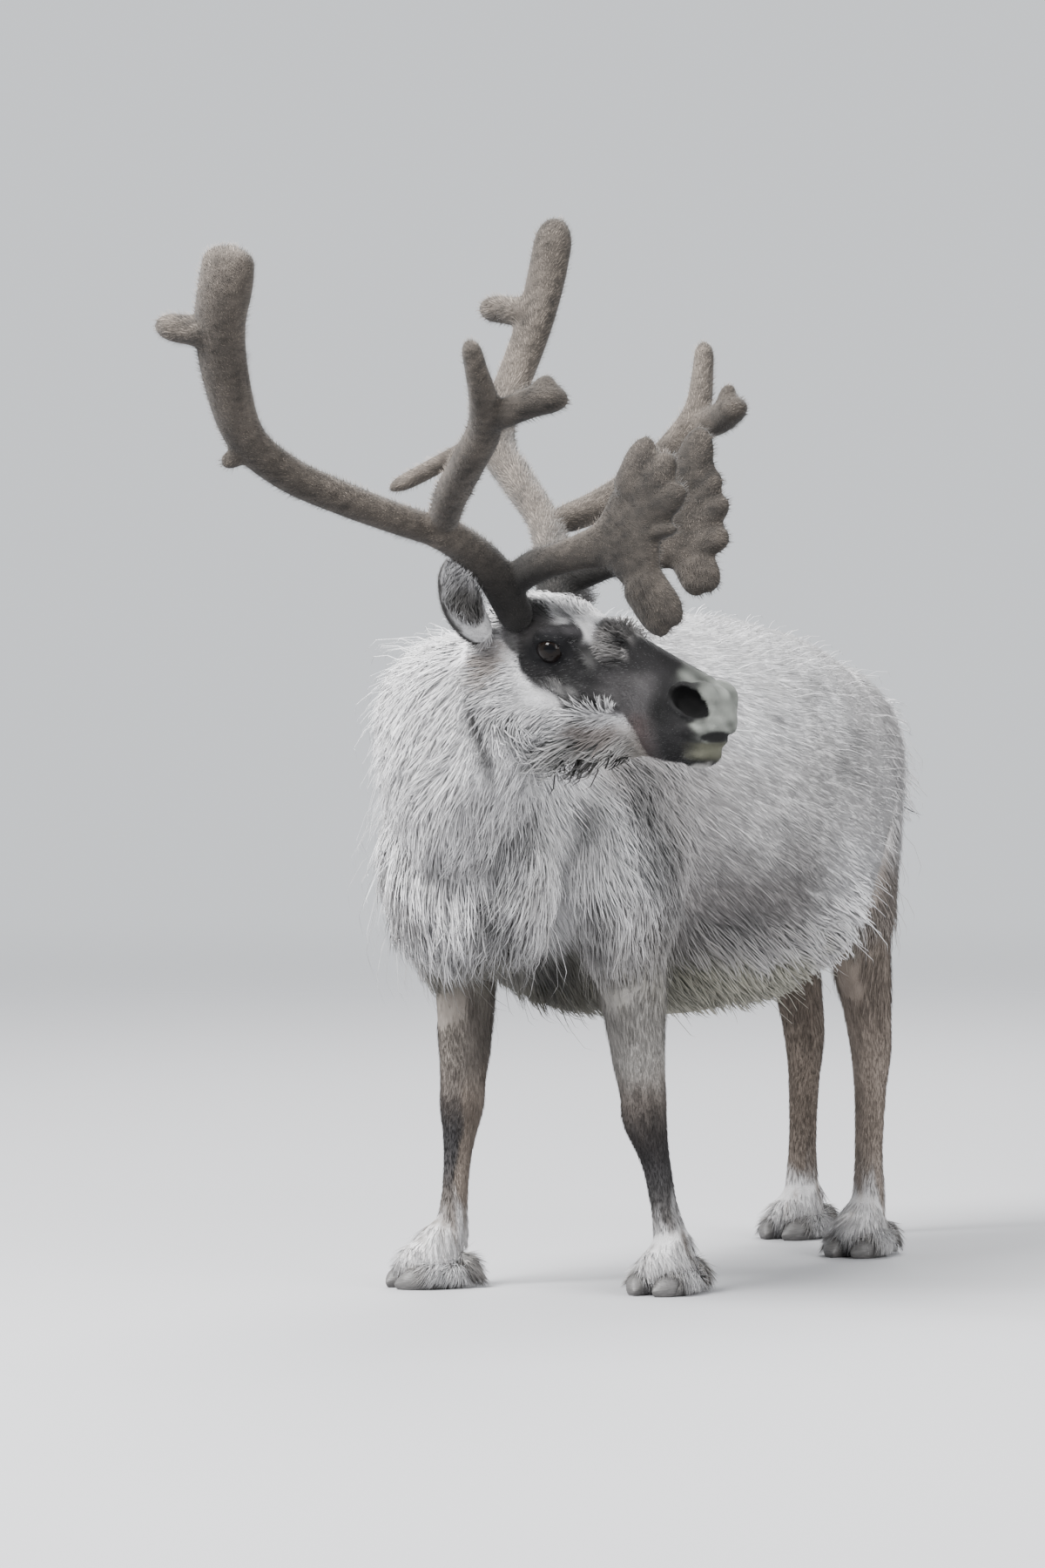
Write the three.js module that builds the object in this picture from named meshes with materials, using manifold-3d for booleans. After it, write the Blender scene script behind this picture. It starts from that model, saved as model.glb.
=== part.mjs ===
// A reindeer bull in summer velvet, life size, standing with its head turned to its left.
// Millimetres, +Z up. The animal faces -Y and its left side is +X; the floor is at Z = 0.
import * as THREE from "three";
import { mergeVertices } from "three/addons/utils/BufferGeometryUtils.js";
import Module from "manifold-3d";

const wasm = await Module();
wasm.setup();

// Driving dimensions, in millimetres unless said otherwise
const GAP = 0.5; // clearance grown round a piece before it is cut out of its neighbour
const LOCK_GAP = 1.4; // the same for a lock of hair, whose edges are thin
const LOCK_SINK = 7; // how deep a lock's root lies under the skin it grows from
const LOCK_FLATNESS = 0.42; // a lock's thickness against its width
const LEAST_SHOWN = 0.45; // a lock with less than this share of it outside the body is left out
const ROW_JITTER = 0.35; // how unevenly the rows of locks stand, as a share of a row
const LENGTH_SPREAD = 0.22; // how much one lock's length differs from the next's
const SIMPLIFY = 0.15; // corners this close to their neighbours' faces are left out
const UP = [0, 0, 1];
const FORWARD = [0, -1, 0];

const HEAD_AT = [224, -249, 795]; // the point midway between the eyes
const HEAD_TURN = 94; // degrees the nose is turned from straight ahead towards the animal's left

const EYE_RADIUS = 19;
const EYE_SIDE = 49; // from the middle of the head to each eye's centre
const PEDICLE = [-44, 45, 43]; // where an antler leaves the skull: forward, outward, up
const BEAM_RADIUS = 22;

const KNEE = 222; // height of the wrist joint of a foreleg
const HOCK = 258;
const FETLOCK = 66; // height at which the foot is parted from the leg
const HOOF_LENGTH = 92; // from heel to toe
const HOOF_HEIGHT = 35;
const SOLE_FLOOR = 0;

// Colours, as red, green and blue from 0 to 1
const paint = (r, g, b, roughness = 0.9) =>
  new THREE.MeshStandardMaterial({ color: new THREE.Color(r, g, b), roughness, metalness: 0 });
const WHITE_COAT = paint(0.62, 0.6, 0.58);
const GREY_COAT = paint(0.42, 0.39, 0.37);
const LEG_COAT = paint(0.3, 0.25, 0.22);
const FACE_COAT = paint(0.2, 0.18, 0.17);
const VELVET = paint(0.26, 0.22, 0.19);
const HOOF = paint(0.07, 0.07, 0.07, 0.5);
const EYE = paint(0.02, 0.015, 0.01, 0.08);

// Turns a piece's own forward, left and up into the model's axes
function frameAt([x, y, z], yawDegrees) {
  const turned = THREE.MathUtils.degToRad(yawDegrees);
  const forward = new THREE.Vector3(Math.sin(turned), -Math.cos(turned), 0);
  const up = new THREE.Vector3(...UP);
  const left = new THREE.Vector3().crossVectors(up, forward);
  return new THREE.Matrix4().makeBasis(forward, left, up).setPosition(x, y, z);
}

// A closed geometry becomes a solid, pushed out along its normals by `grow`
function solidOf(geometry, grow = 0) {
  const bare = geometry.clone();
  bare.deleteAttribute("normal");
  bare.deleteAttribute("uv");
  const merged = mergeVertices(bare, 1e-4);
  merged.computeVertexNormals();
  const place = merged.getAttribute("position");
  const normal = merged.getAttribute("normal");
  const facing = insideOut(merged) ? -1 : 1;
  const vertProperties = new Float32Array(place.count * 3);
  for (let i = 0; i < place.count; i++) {
    vertProperties[3 * i] = place.getX(i) + grow * facing * normal.getX(i);
    vertProperties[3 * i + 1] = place.getY(i) + grow * facing * normal.getY(i);
    vertProperties[3 * i + 2] = place.getZ(i) + grow * facing * normal.getZ(i);
  }
  const triVerts = new Uint32Array(merged.index.array);
  if (facing < 0) {
    for (let i = 0; i < triVerts.length; i += 3) {
      [triVerts[i + 1], triVerts[i + 2]] = [triVerts[i + 2], triVerts[i + 1]];
    }
  }
  return new wasm.Manifold(new wasm.Mesh({ numProp: 3, vertProperties, triVerts }));
}

// True where a closed geometry's faces point inwards: its signed volume is negative
function insideOut(geometry) {
  const place = geometry.getAttribute("position");
  const index = geometry.index.array;
  const [a, b, c] = [new THREE.Vector3(), new THREE.Vector3(), new THREE.Vector3()];
  let volume = 0;
  for (let i = 0; i < index.length; i += 3) {
    a.fromBufferAttribute(place, index[i]);
    b.fromBufferAttribute(place, index[i + 1]);
    c.fromBufferAttribute(place, index[i + 2]);
    volume += a.dot(b.cross(c));
  }
  return volume < 0;
}

const join = (solids) => wasm.Manifold.union(solids);

// The largest closed surface of a solid
function mainBody(solid) {
  const bodies = solid.decompose();
  return bodies.reduce((best, body) => (body.volume() > best.volume() ? body : best));
}

// Where each ring of a skin lies, from 0 to 1. The rings of a rounded end stand closer together.
function ringStops(rings, blunt) {
  const dome = rings > 7 ? [0, 0.1, 0.45] : [0, 0.22];
  const start = dome.map((share) => share * blunt);
  const body = rings - 2 * dome.length;
  const middle = Array.from({ length: body + 1 }, (_, i) => blunt + ((1 - 2 * blunt) * i) / body);
  return [...start, ...middle, ...start.map((t) => 1 - t).reverse()];
}

// A smooth closed skin along a curve. Each row is a ring: centre x, y, z, half width, and the reaches
// over and under the curve. `over` is roughly the direction over it. Both ends are rounded over `blunt`.
function skin(rows, { over = UP, sides = 10, rings = 12, blunt = 0.1, frame = null }) {
  const centres = new THREE.CatmullRomCurve3(rows.map((r) => new THREE.Vector3(r[0], r[1], r[2])));
  centres.curveType = "catmullrom";
  const sizes = new THREE.CatmullRomCurve3(
    rows.map(([, , , wide, rise = wide, fall = rise]) => new THREE.Vector3(wide, rise, fall)),
  );
  sizes.curveType = "catmullrom";
  const overHint = new THREE.Vector3(...over);

  function at(t, angle, lift = 0) {
    const tangent = centres.getTangent(t);
    const side = new THREE.Vector3().crossVectors(tangent, overHint).normalize();
    const rise = new THREE.Vector3().crossVectors(side, tangent);
    const size = sizes.getPoint(t);
    const fromEnd = Math.min(t, 1 - t);
    const round = fromEnd < blunt ? Math.sqrt(Math.max(0, 1 - (1 - fromEnd / blunt) ** 2)) : 1;
    const across = Math.cos(angle) * (size.x * round + lift);
    const along = Math.sin(angle) * ((Math.sin(angle) > 0 ? size.y : size.z) * round + lift);
    const point = centres.getPoint(t).addScaledVector(side, across).addScaledVector(rise, along);
    return frame ? point.applyMatrix4(frame) : point;
  }

  // A unit ball is pulled over the rows: its rings become the skin's rings, one after the other.
  const geometry = new THREE.SphereGeometry(1, sides, rings);
  const place = geometry.getAttribute("position");
  const stops = ringStops(rings, blunt);
  const columns = sides + 1;
  for (let i = 0; i < place.count; i++) {
    const ring = Math.floor(i / columns);
    const column = (i % columns) % sides;
    const pole = ring === 0 || ring === rings;
    const spot = at(stops[ring], pole ? 0 : (2 * Math.PI * column) / sides);
    place.setXYZ(i, spot.x, spot.y, spot.z);
  }
  return { at, solid: (grow = 0) => solidOf(geometry, grow) };
}

// Seeded random numbers from 0 to 1, so that every run grows the same coat
function randomFrom(seed) {
  let state = seed;
  return () => {
    state = (state + 0x6d2b79f5) | 0;
    let mixed = Math.imul(state ^ (state >>> 15), 1 | state);
    mixed = (mixed + Math.imul(mixed ^ (mixed >>> 7), 61 | mixed)) ^ mixed;
    return ((mixed ^ (mixed >>> 14)) >>> 0) / 4294967296;
  };
}

// One flat tapered lock of hair: a three-sided strip that leaves the skin at `root`, runs along `lie`,
// stands off along `out` and sags. Its ridge is uppermost and its tip is a point.
function lockOf({ root, out, lie, length, width, lift, sag }) {
  const across = new THREE.Vector3().crossVectors(out, lie).normalize();
  function middle(s, grow) {
    const reach = (length + 4 * grow) * s - grow;
    const share = reach / length;
    const rise = Math.sin(THREE.MathUtils.clamp(1.3 * share, 0, 1) * Math.PI * 0.5);
    return root
      .clone()
      .addScaledVector(lie, reach)
      .addScaledVector(out, -LOCK_SINK + (LOCK_SINK + lift) * rise)
      .add(new THREE.Vector3(0, 0, -sag * length * share * share));
  }

  // A three-sided cone is bent along the lock; `grow` thickens it evenly instead of moving its corners.
  function strip(grow) {
    const geometry = new THREE.ConeGeometry(1, 1, 3, 3);
    const place = geometry.getAttribute("position");
    for (let i = 0; i < place.count; i++) {
      const s = place.getY(i) + 0.5;
      const full = 1 - s;
      const left = full > 0.01 ? place.getX(i) / full : 0;
      const ridge = full > 0.01 ? place.getZ(i) / full : 0;
      const size = width * full ** 0.6 * (0.75 + 0.5 * s);
      const spot = middle(s, grow)
        .addScaledVector(across, left * (size + 2.5 * grow))
        .addScaledVector(out, ridge * (size * LOCK_FLATNESS + 2 * grow));
      place.setXYZ(i, spot.x, spot.y, spot.z);
    }
    return geometry;
  }
  return { solid: (grow = 0) => solidOf(strip(grow)) };
}

// Staggered rows of locks over part of a skin. `t` and `angle` give its reach along and round the skin,
// `rows` and `count` how many there are, and `down` how much the hair falls rather than following the skin.
function locksOn(form, patch) {
  const { t, angle, rows, count, length, width, lift = 10, down = 0.7, along = 1, seed } = patch;
  const random = randomFrom(seed);
  const spread = (middle, share) => middle * (1 + share * (2 * random() - 1));
  const locks = [];
  for (let row = 0; row < rows; row++) {
    for (let i = 0; i < count; i++) {
      const rowShare = (row + 0.5 + ROW_JITTER * (random() - 0.5)) / rows;
      const turnShare = (i + 0.3 + 0.4 * random() + 0.3 * (row % 2)) / count;
      const s = THREE.MathUtils.lerp(t[0], t[1], rowShare);
      const turn = THREE.MathUtils.degToRad(THREE.MathUtils.lerp(angle[0], angle[1], turnShare));
      const root = form.at(s, turn);
      const out = form.at(s, turn, 1).sub(root).normalize();
      const flow = form.at(Math.min(0.99, s + 0.01), turn).sub(form.at(Math.max(0.01, s - 0.01), turn));
      const lie = flow.normalize().multiplyScalar(along * (1 - down)).add(new THREE.Vector3(0, 0, -down));
      lie.addScaledVector(out, -lie.dot(out)).normalize();
      locks.push(
        lockOf({
          root,
          out,
          lie,
          length: spread(length, LENGTH_SPREAD),
          width: spread(width, 0.2),
          lift: spread(lift, 0.4),
          sag: 0.2,
        }),
      );
    }
  }
  return locks;
}

// A body with its locks: those that would lie mostly inside it are left out
function withLocks(body, locks) {
  const kept = locks.filter((lock) => {
    const strip = lock.solid();
    return strip.subtract(body).volume() > LEAST_SHOWN * strip.volume();
  });
  return {
    solid: join([body, ...kept.map((lock) => lock.solid())]),
    cutter: kept.map((lock) => lock.solid(LOCK_GAP)),
  };
}

// An egg: a ball with three radii along its frame's forward, left and up
function egg(centre, radii, { frame = null, sides = 12, rings = 8 } = {}) {
  const geometry = new THREE.SphereGeometry(1, sides, rings);
  geometry.scale(...radii).translate(...centre);
  if (frame) geometry.applyMatrix4(frame);
  return { solid: (grow = 0) => solidOf(geometry, grow) };
}

// The same rows on the animal's other side of a frame that has its left along the second axis
const mirrored = (rows, side) => rows.map(([f, l, ...rest]) => [f, l * side, ...rest]);

// Torso: barrel, two shoulders and two haunches. Rows run from the breast to the rump.
const BARREL = [
  [0, -110, 590, 84, 130, 90],
  [0, -40, 605, 140, 196, 190],
  [0, 60, 610, 182, 222, 250],
  [-2, 200, 590, 208, 242, 256],
  [-6, 340, 575, 226, 256, 262],
  [-14, 480, 580, 228, 250, 250],
  [-28, 600, 600, 196, 216, 200],
  [-46, 700, 612, 162, 178, 160],
  [-60, 800, 618, 122, 140, 120],
  [-66, 890, 622, 84, 98, 84],
  [-66, 945, 622, 52, 60, 52],
];
const SHOULDER = [
  [70, 120, 775, 40, 60, 60],
  [105, 60, 660, 72, 96, 96],
  [128, 30, 540, 74, 92, 88],
  [126, 40, 430, 52, 66, 64],
  [126, 46, 360, 42, 50, 52],
];
const HAUNCH_LEFT = [
  [20, 740, 750, 40, 56, 56],
  [50, 700, 670, 64, 96, 96],
  [74, 660, 560, 68, 100, 94],
  [90, 652, 450, 54, 76, 74],
  [94, 664, 370, 40, 54, 52],
];
const HAUNCH_RIGHT = [
  [-106, 750, 746, 42, 60, 60],
  [-128, 750, 670, 64, 100, 96],
  [-136, 766, 560, 64, 98, 90],
  [-128, 804, 450, 50, 72, 64],
  [-116, 832, 370, 40, 52, 50],
];
const withX = (rows, side) => rows.map(([x, ...rest]) => [x * side, ...rest]);
const torsoForms = () => [
  skin(BARREL, { sides: 18, rings: 17, blunt: 0.12 }),
  skin(SHOULDER, { over: FORWARD, sides: 9, rings: 8, blunt: 0.2 }),
  skin(withX(SHOULDER, -1), { over: FORWARD, sides: 9, rings: 8, blunt: 0.2 }),
  skin(HAUNCH_LEFT, { over: FORWARD, sides: 9, rings: 8, blunt: 0.2 }),
  skin(HAUNCH_RIGHT, { over: FORWARD, sides: 9, rings: 8, blunt: 0.2 }),
];

// Neck: from inside the breast forward, then bending to the animal's left up to the skull
const NECK = [
  [0, 90, 660, 104, 116, 150],
  [-4, -40, 672, 118, 130, 190],
  [4, -130, 700, 112, 110, 190],
  [44, -196, 735, 94, 80, 164],
  [100, -236, 760, 74, 62, 146],
  [160, -248, 770, 58, 56, 126],
  [205, -248, 768, 48, 48, 112],
  [245, -246, 762, 38, 40, 92],
];
// The hanging front of the chest, from the throat down to the brisket
const BRISKET = [
  [0, -92, 660, 92, 90, 90],
  [-4, -116, 570, 108, 88, 110],
  [-6, -104, 490, 100, 80, 110],
  [-4, -76, 430, 74, 56, 84],
];
const neckForms = () => [
  skin(NECK, { sides: 16, rings: 14, blunt: 0.1 }),
  skin(BRISKET, { over: FORWARD, sides: 12, rings: 9, blunt: 0.22 }),
];

// Tail: short, hanging from the rump
const TAIL = [
  [-62, 916, 690, 20, 16, 16],
  [-64, 952, 676, 24, 20, 20],
  [-66, 982, 640, 26, 20, 20],
  [-66, 994, 596, 22, 16, 16],
  [-66, 996, 560, 12, 9, 9],
];
const tailForm = () => skin(TAIL, { over: [0, 1, 0], sides: 8, rings: 8, blunt: 0.2 });

// Legs. Rows run downwards: centre, half width, reach forward and reach back
const FORELEG_LEFT = [
  [118, 54, 500, 38, 48, 50],
  [125, 48, 400, 38, 46, 52],
  [130, 56, 300, 31, 37, 41],
  [134, 62, 250, 28, 32, 31],
  [135, 66, 215, 27, 31, 28],
  [138, 84, 165, 18, 20, 21],
  [141, 99, 110, 16, 18, 20],
  [144, 108, 70, 20, 22, 25],
  [145, 110, 46, 22, 24, 26],
];
const FORELEG_RIGHT = [
  [-116, 60, 500, 38, 48, 50],
  [-120, 58, 400, 36, 44, 50],
  [-122, 60, 300, 31, 36, 38],
  [-124, 60, 255, 28, 31, 30],
  [-124, 58, 222, 27, 31, 28],
  [-125, 50, 170, 18, 20, 21],
  [-126, 44, 115, 16, 18, 20],
  [-127, 38, 72, 20, 22, 25],
  [-128, 34, 46, 22, 24, 26],
];
const HINDLEG_LEFT = [
  [96, 640, 500, 40, 62, 56],
  [94, 664, 400, 38, 50, 42],
  [92, 684, 320, 30, 34, 36],
  [92, 694, 262, 25, 29, 33],
  [92, 694, 205, 20, 24, 22],
  [92, 690, 135, 18, 19, 20],
  [92, 690, 85, 20, 22, 24],
  [92, 688, 48, 22, 24, 26],
];
const HINDLEG_RIGHT = [
  [-122, 800, 500, 40, 60, 56],
  [-116, 836, 400, 36, 50, 42],
  [-111, 860, 320, 29, 34, 36],
  [-110, 872, 262, 25, 29, 33],
  [-108, 870, 205, 20, 24, 22],
  [-107, 864, 135, 18, 19, 20],
  [-107, 862, 85, 20, 22, 24],
  [-107, 858, 48, 22, 24, 26],
];
const LEGS = [
  { name: "foreleg_left", rows: FORELEG_LEFT, joint: KNEE, foot: [148, 98], yaw: 0 },
  { name: "foreleg_right", rows: FORELEG_RIGHT, joint: KNEE, foot: [-139, 16], yaw: -34 },
  { name: "hindleg_left", rows: HINDLEG_LEFT, joint: HOCK, foot: [92, 672], yaw: 4 },
  { name: "hindleg_right", rows: HINDLEG_RIGHT, joint: HOCK, foot: [-106, 852], yaw: -4 },
];
const legForm = ({ rows }) => skin(rows, { over: FORWARD, sides: 9, rings: 17, blunt: 0.06 });

// Foot: the haired pastern, spreading over the two hooves. Own frame: forward, left, up from the floor.
const PASTERN = [
  [-18, 0, 86, 18, 19, 19],
  [-13, 0, 64, 23, 25, 27],
  [-4, 0, 42, 30, 34, 34],
  [6, 0, 24, 33, 42, 42],
  [8, 0, 8, 27, 36, 36],
];
const CLAW = [
  [-HOOF_LENGTH / 2 + 12, 19, 12, 9, 10, 16],
  [-20, 20, 13, 15, HOOF_HEIGHT - 14, 20],
  [14, 21, 12, 18, HOOF_HEIGHT - 12, 20],
  [HOOF_LENGTH / 2 - 6, 19, 10, 15, 15, 18],
  [HOOF_LENGTH / 2 + 12, 13, 6, 6, 6, 12],
];
const DEWCLAW = [
  [-26, 18, 42, 8, 9, 9],
  [-37, 22, 30, 10, 10, 10],
  [-45, 24, 17, 9, 8, 8],
  [-48, 25, 8, 4, 4, 3],
];

function footPieces({ name, foot, yaw }) {
  const frame = frameAt([foot[0], foot[1], SOLE_FLOOR], yaw);
  const pastern = skin(PASTERN, { over: [1, 0, 0], sides: 8, rings: 6, blunt: 0.25, frame });
  const claws = [1, -1].flatMap((side) => {
    const word = side > 0 ? "left" : "right";
    const hoof = skin(mirrored(CLAW, side), { sides: 8, rings: 6, blunt: 0.25, frame });
    const spur = skin(mirrored(DEWCLAW, side), { over: [-1, 0, 0], sides: 6, rings: 5, blunt: 0.3, frame });
    return [
      { name: `${name}_hoof_${word}`, form: hoof },
      { name: `${name}_dewclaw_${word}`, form: spur },
    ];
  });
  return { pastern, claws };
}

// Head, in its own frame: forward, left and up from the point between the eyes
const HEAD_FRAME = frameAt(HEAD_AT, HEAD_TURN);
const SKULL = [
  [-122, 0, -34, 46, 46, 54],
  [-92, 0, -28, 58, 70, 84],
  [-50, 0, -24, 64, 84, 96],
  [0, 0, -24, 60, 78, 96],
  [42, 0, -32, 52, 68, 88],
  [84, 0, -46, 45, 60, 77],
  [124, 0, -64, 41, 58, 70],
  [158, 0, -80, 42, 60, 62],
  [184, 0, -86, 39, 56, 54],
  [202, 0, -86, 30, 44, 44],
  [213, 0, -86, 18, 28, 30],
];
const EYE_CENTRE = (side) => [0, side * EYE_SIDE, 0];
const NOSTRIL = [
  [163, 49, -55, 4, 6],
  [175, 48, -59, 8, 10],
  [187, 43, -66, 8, 9],
  [196, 35, -75, 4, 5],
];
const MOUTH = [
  [118, 47, -117, 2, 3],
  [150, 47, -112, 2, 3],
  [180, 42, -107, 2, 4],
  [202, 27, -104, 2, 4],
  [210, 0, -103, 3, 4],
  [202, -27, -104, 2, 4],
  [180, -42, -107, 2, 4],
  [150, -47, -112, 2, 3],
  [118, -47, -117, 2, 3],
];

// The lids: a flattened ring standing round each eye
function lid(side, grow) {
  const ring = new THREE.TorusGeometry(EYE_RADIUS - 1, 5, 5, 12);
  const geometry = ring.scale(1.14, 0.84, 1).rotateX(Math.PI / 2).rotateZ(-side * 0.2);
  geometry.translate(2, side * (EYE_SIDE + 9), 0).applyMatrix4(HEAD_FRAME);
  return solidOf(geometry, grow);
}

function headForms(skull, grow = 0) {
  const ball = (centre, radii) => egg(centre, radii, { frame: HEAD_FRAME, sides: 8, rings: 6 }).solid(grow);
  return [
    skull.solid(grow),
    ...[1, -1].flatMap((side) => [
      ball([4, side * 43, 14], [33, 20, 17]), // brow ridge
      ball([180, side * 29, -60], [22, 18, 23]), // flare of the nostril
      ball([168, side * 27, -92], [34, 17, 13]), // upper lip
      lid(side, grow),
    ]),
    ball([180, 0, -124], [30, 31, 19]), // chin and lower lip
  ];
}

const nostril = (side) =>
  skin(mirrored(NOSTRIL, side), { sides: 7, rings: 6, blunt: 0.3, frame: HEAD_FRAME });
function headCuts() {
  const mouth = skin(MOUTH, { sides: 4, rings: 14, blunt: 0.05, frame: HEAD_FRAME });
  return [mouth.solid(), nostril(1).solid(), nostril(-1).solid()];
}

const eyeForm = (side) =>
  egg(EYE_CENTRE(side), [EYE_RADIUS, EYE_RADIUS, EYE_RADIUS], { frame: HEAD_FRAME, sides: 10, rings: 7 });

// Ears: a leaf-shaped shell with a cup cut into the side that faces forward and out
const EARS = {
  right: {
    shell: [
      [-80, -56, 12, 16, 14],
      [-92, -76, 30, 24, 16],
      [-98, -96, 58, 28, 15],
      [-102, -112, 84, 20, 10],
      [-102, -122, 106, 6, 4],
    ],
    cup: [
      [-84, -82, 34, 10, 7],
      [-86, -104, 56, 20, 10],
      [-92, -120, 80, 14, 8],
      [-98, -128, 98, 4, 4],
    ],
    facing: [0.75, -0.6, 0.2],
  },
  left: {
    shell: [
      [-80, 56, 12, 16, 14],
      [-82, 84, 26, 24, 16],
      [-74, 112, 42, 28, 15],
      [-64, 134, 56, 20, 10],
      [-54, 152, 66, 6, 4],
    ],
    cup: [
      [-66, 88, 22, 10, 7],
      [-58, 112, 36, 20, 10],
      [-52, 132, 50, 14, 8],
      [-48, 146, 60, 4, 4],
    ],
    facing: [0.85, 0.3, -0.25],
  },
};
function earForms({ shell, cup, facing }) {
  return {
    shell: skin(shell, { over: facing, sides: 10, rings: 9, blunt: 0.15, frame: HEAD_FRAME }),
    cup: skin(cup, { over: facing, sides: 8, rings: 7, blunt: 0.25, frame: HEAD_FRAME }),
  };
}

// Antlers. Points are back, outward and up from the pedicle, then the half width sideways and the half
// depth fore and aft. The two antlers differ a little, so each has its own rows.
const ANTLERS = {
  right: {
    lower: [
      [-2, -6, -26, 22],
      [10, 6, 8, 23],
      [21, 31, 47, 24],
      [33, 64, 72, 23],
      [46, 102, 91, 22],
      [72, 132, 104, 20],
    ],
    upper: [
      [46, 102, 91, 19],
      [79, 142, 107, 20, 21],
      [128, 194, 132, 21, 23],
      [178, 244, 163, 22, 24],
      [207, 292, 206, 22, 27],
      [206, 338, 276, 23, 31],
      [195, 369, 336, 24, 33],
      [177, 386, 383, 25, 35],
      [171, 388, 424, 24, 33],
    ],
    rear: [[200, 276, 198, 14], [219, 289, 182, 13], [236, 295, 173, 11]],
    stub: [[192, 366, 322, 22], [237, 373, 328, 19], [276, 378, 334, 18]],
    bez: [
      [50, 102, 97, 18],
      [16, 145, 134, 21],
      [-27, 182, 174, 22],
      [-60, 203, 212, 22],
      [-76, 234, 246, 19],
      [-78, 256, 282, 15],
      [-76, 270, 316, 13],
    ],
    bezFork: [[-58, 212, 216, 18], [-106, 217, 236, 19], [-143, 212, 248, 20], [-172, 207, 246, 16]],
    bezLobe: [[-128, 210, 248, 14], [-142, 210, 262, 14], [-154, 209, 272, 12]],
    browStem: [
      [12, 8, 30, 17, 21],
      [-26, 19, 52, 17, 22],
      [-72, 23, 65, 16, 22],
      [-121, 28, 78, 15, 30],
      [-146, 33, 84, 14, 56],
      [-172, 38, 88, 13, 84],
      [-192, 41, 86, 12, 84],
      [-204, 42, 86, 10, 66],
    ],
    palmLobes: [
      [184, 186, 21],
      [208, 168, 23],
      [220, 136, 22],
      [220, 97, 10],
      [216, 4, 23],
      [203, -10, 20],
    ],
  },
  left: {
    lower: [
      [-4, -6, -26, 22],
      [4, 2, 12, 23],
      [19, 31, 47, 24],
      [44, 70, 74, 22],
      [69, 107, 95, 22],
      [92, 132, 110, 20],
    ],
    upper: [
      [69, 107, 95, 19],
      [99, 138, 118, 20, 21],
      [153, 191, 152, 21, 22],
      [206, 242, 187, 21, 23],
      [235, 293, 230, 22, 24],
      [239, 340, 276, 22, 24],
      [226, 367, 342, 22, 25],
      [217, 385, 404, 23, 26],
      [206, 393, 478, 23, 26],
    ],
    rear: [[224, 286, 210, 15], [281, 282, 188, 13], [328, 275, 164, 13], [374, 264, 141, 12]],
    stub: [[220, 360, 358, 20], [266, 369, 364, 19], [303, 373, 366, 18]],
    bez: [
      [68, 110, 100, 18],
      [23, 154, 124, 21],
      [-18, 192, 159, 21],
      [-53, 213, 199, 21],
      [-70, 230, 237, 18],
      [-67, 251, 281, 15],
      [-63, 265, 322, 13],
    ],
    bezFork: [[-58, 222, 212, 18], [-101, 220, 226, 20], [-128, 207, 238, 19], [-150, 199, 243, 14]],
    bezLobe: [[-112, 212, 238, 13], [-122, 208, 256, 12], [-128, 207, 270, 10]],
    browStem: [
      [4, 10, 30, 17, 21],
      [-20, 22, 44, 17, 22],
      [-62, 28, 60, 16, 22],
      [-100, 34, 76, 15, 34],
      [-122, 38, 92, 14, 60],
      [-148, 41, 104, 13, 84],
      [-166, 42, 106, 12, 84],
      [-178, 42, 104, 10, 62],
    ],
    palmLobes: [
      [167, 196, 23],
      [183, 150, 18],
      [190, 122, 19],
      [188, 86, 20],
      [176, 42, 22],
      [162, 34, 18],
    ],
  },
};
const PALM_THICKNESS = 13; // half the thickness of a brow palm's lobes, given as forward, up and radius
const PALM_MIDDLE = [-140, 40, 86]; // where a palm's lobes spread from: back, outward, up
const LOBE_ROOT = 0.45; // how far out from there a lobe begins

// A row of back, outward, up measured from one pedicle becomes a row in the head's frame
const fromPedicle = (rows, side) =>
  rows.map(([back, out, up, ...size]) => {
    const [forward, outward, above] = PEDICLE;
    return [forward - back, side * (outward + out), above + up, ...size];
  });

function palmLobe([forward, up, radius], side) {
  const [back, out, middle] = PALM_MIDDLE;
  const rows = [LOBE_ROOT, 0.75, 1].map((reach) => [
    back + (-forward - back) * reach,
    out + 3 * reach,
    middle + (up - middle) * reach,
    radius * (1.5 - 0.5 * reach),
    PALM_THICKNESS,
  ]);
  // The rounded end of a lobe lies past its centre
  const last = rows[2];
  last[0] -= (radius * (forward + back)) / Math.hypot(forward + back, up - middle);
  last[2] += (radius * (up - middle)) / Math.hypot(forward + back, up - middle);
  const lobe = { over: [0, 1, 0], sides: 6, rings: 5, blunt: 0.35, frame: HEAD_FRAME };
  return skin(fromPedicle(rows, side), lobe);
}

function antlerForms(word) {
  const side = word === "left" ? 1 : -1;
  const rows = ANTLERS[word];
  const branch = (part, sides, rings, blunt, over) =>
    skin(fromPedicle(rows[part], side), { over, sides, rings, blunt, frame: HEAD_FRAME });
  return {
    lower: [branch("lower", 9, 8, 0.15, [-1, 0, 0.2])],
    upper: [
      branch("upper", 9, 16, 0.06, [-1, 0, 0.1]),
      branch("rear", 7, 6, 0.2, UP),
      branch("stub", 8, 5, 0.35, UP),
    ],
    bez: [
      branch("bez", 8, 13, 0.07, [1, 0, 0.3]),
      branch("bezFork", 8, 6, 0.25, UP),
      branch("bezLobe", 7, 5, 0.4, [0, 1, 0]),
    ],
    brow: [branch("browStem", 8, 11, 0.05, UP), ...rows.palmLobes.map((lobe) => palmLobe(lobe, side))],
  };
}

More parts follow.
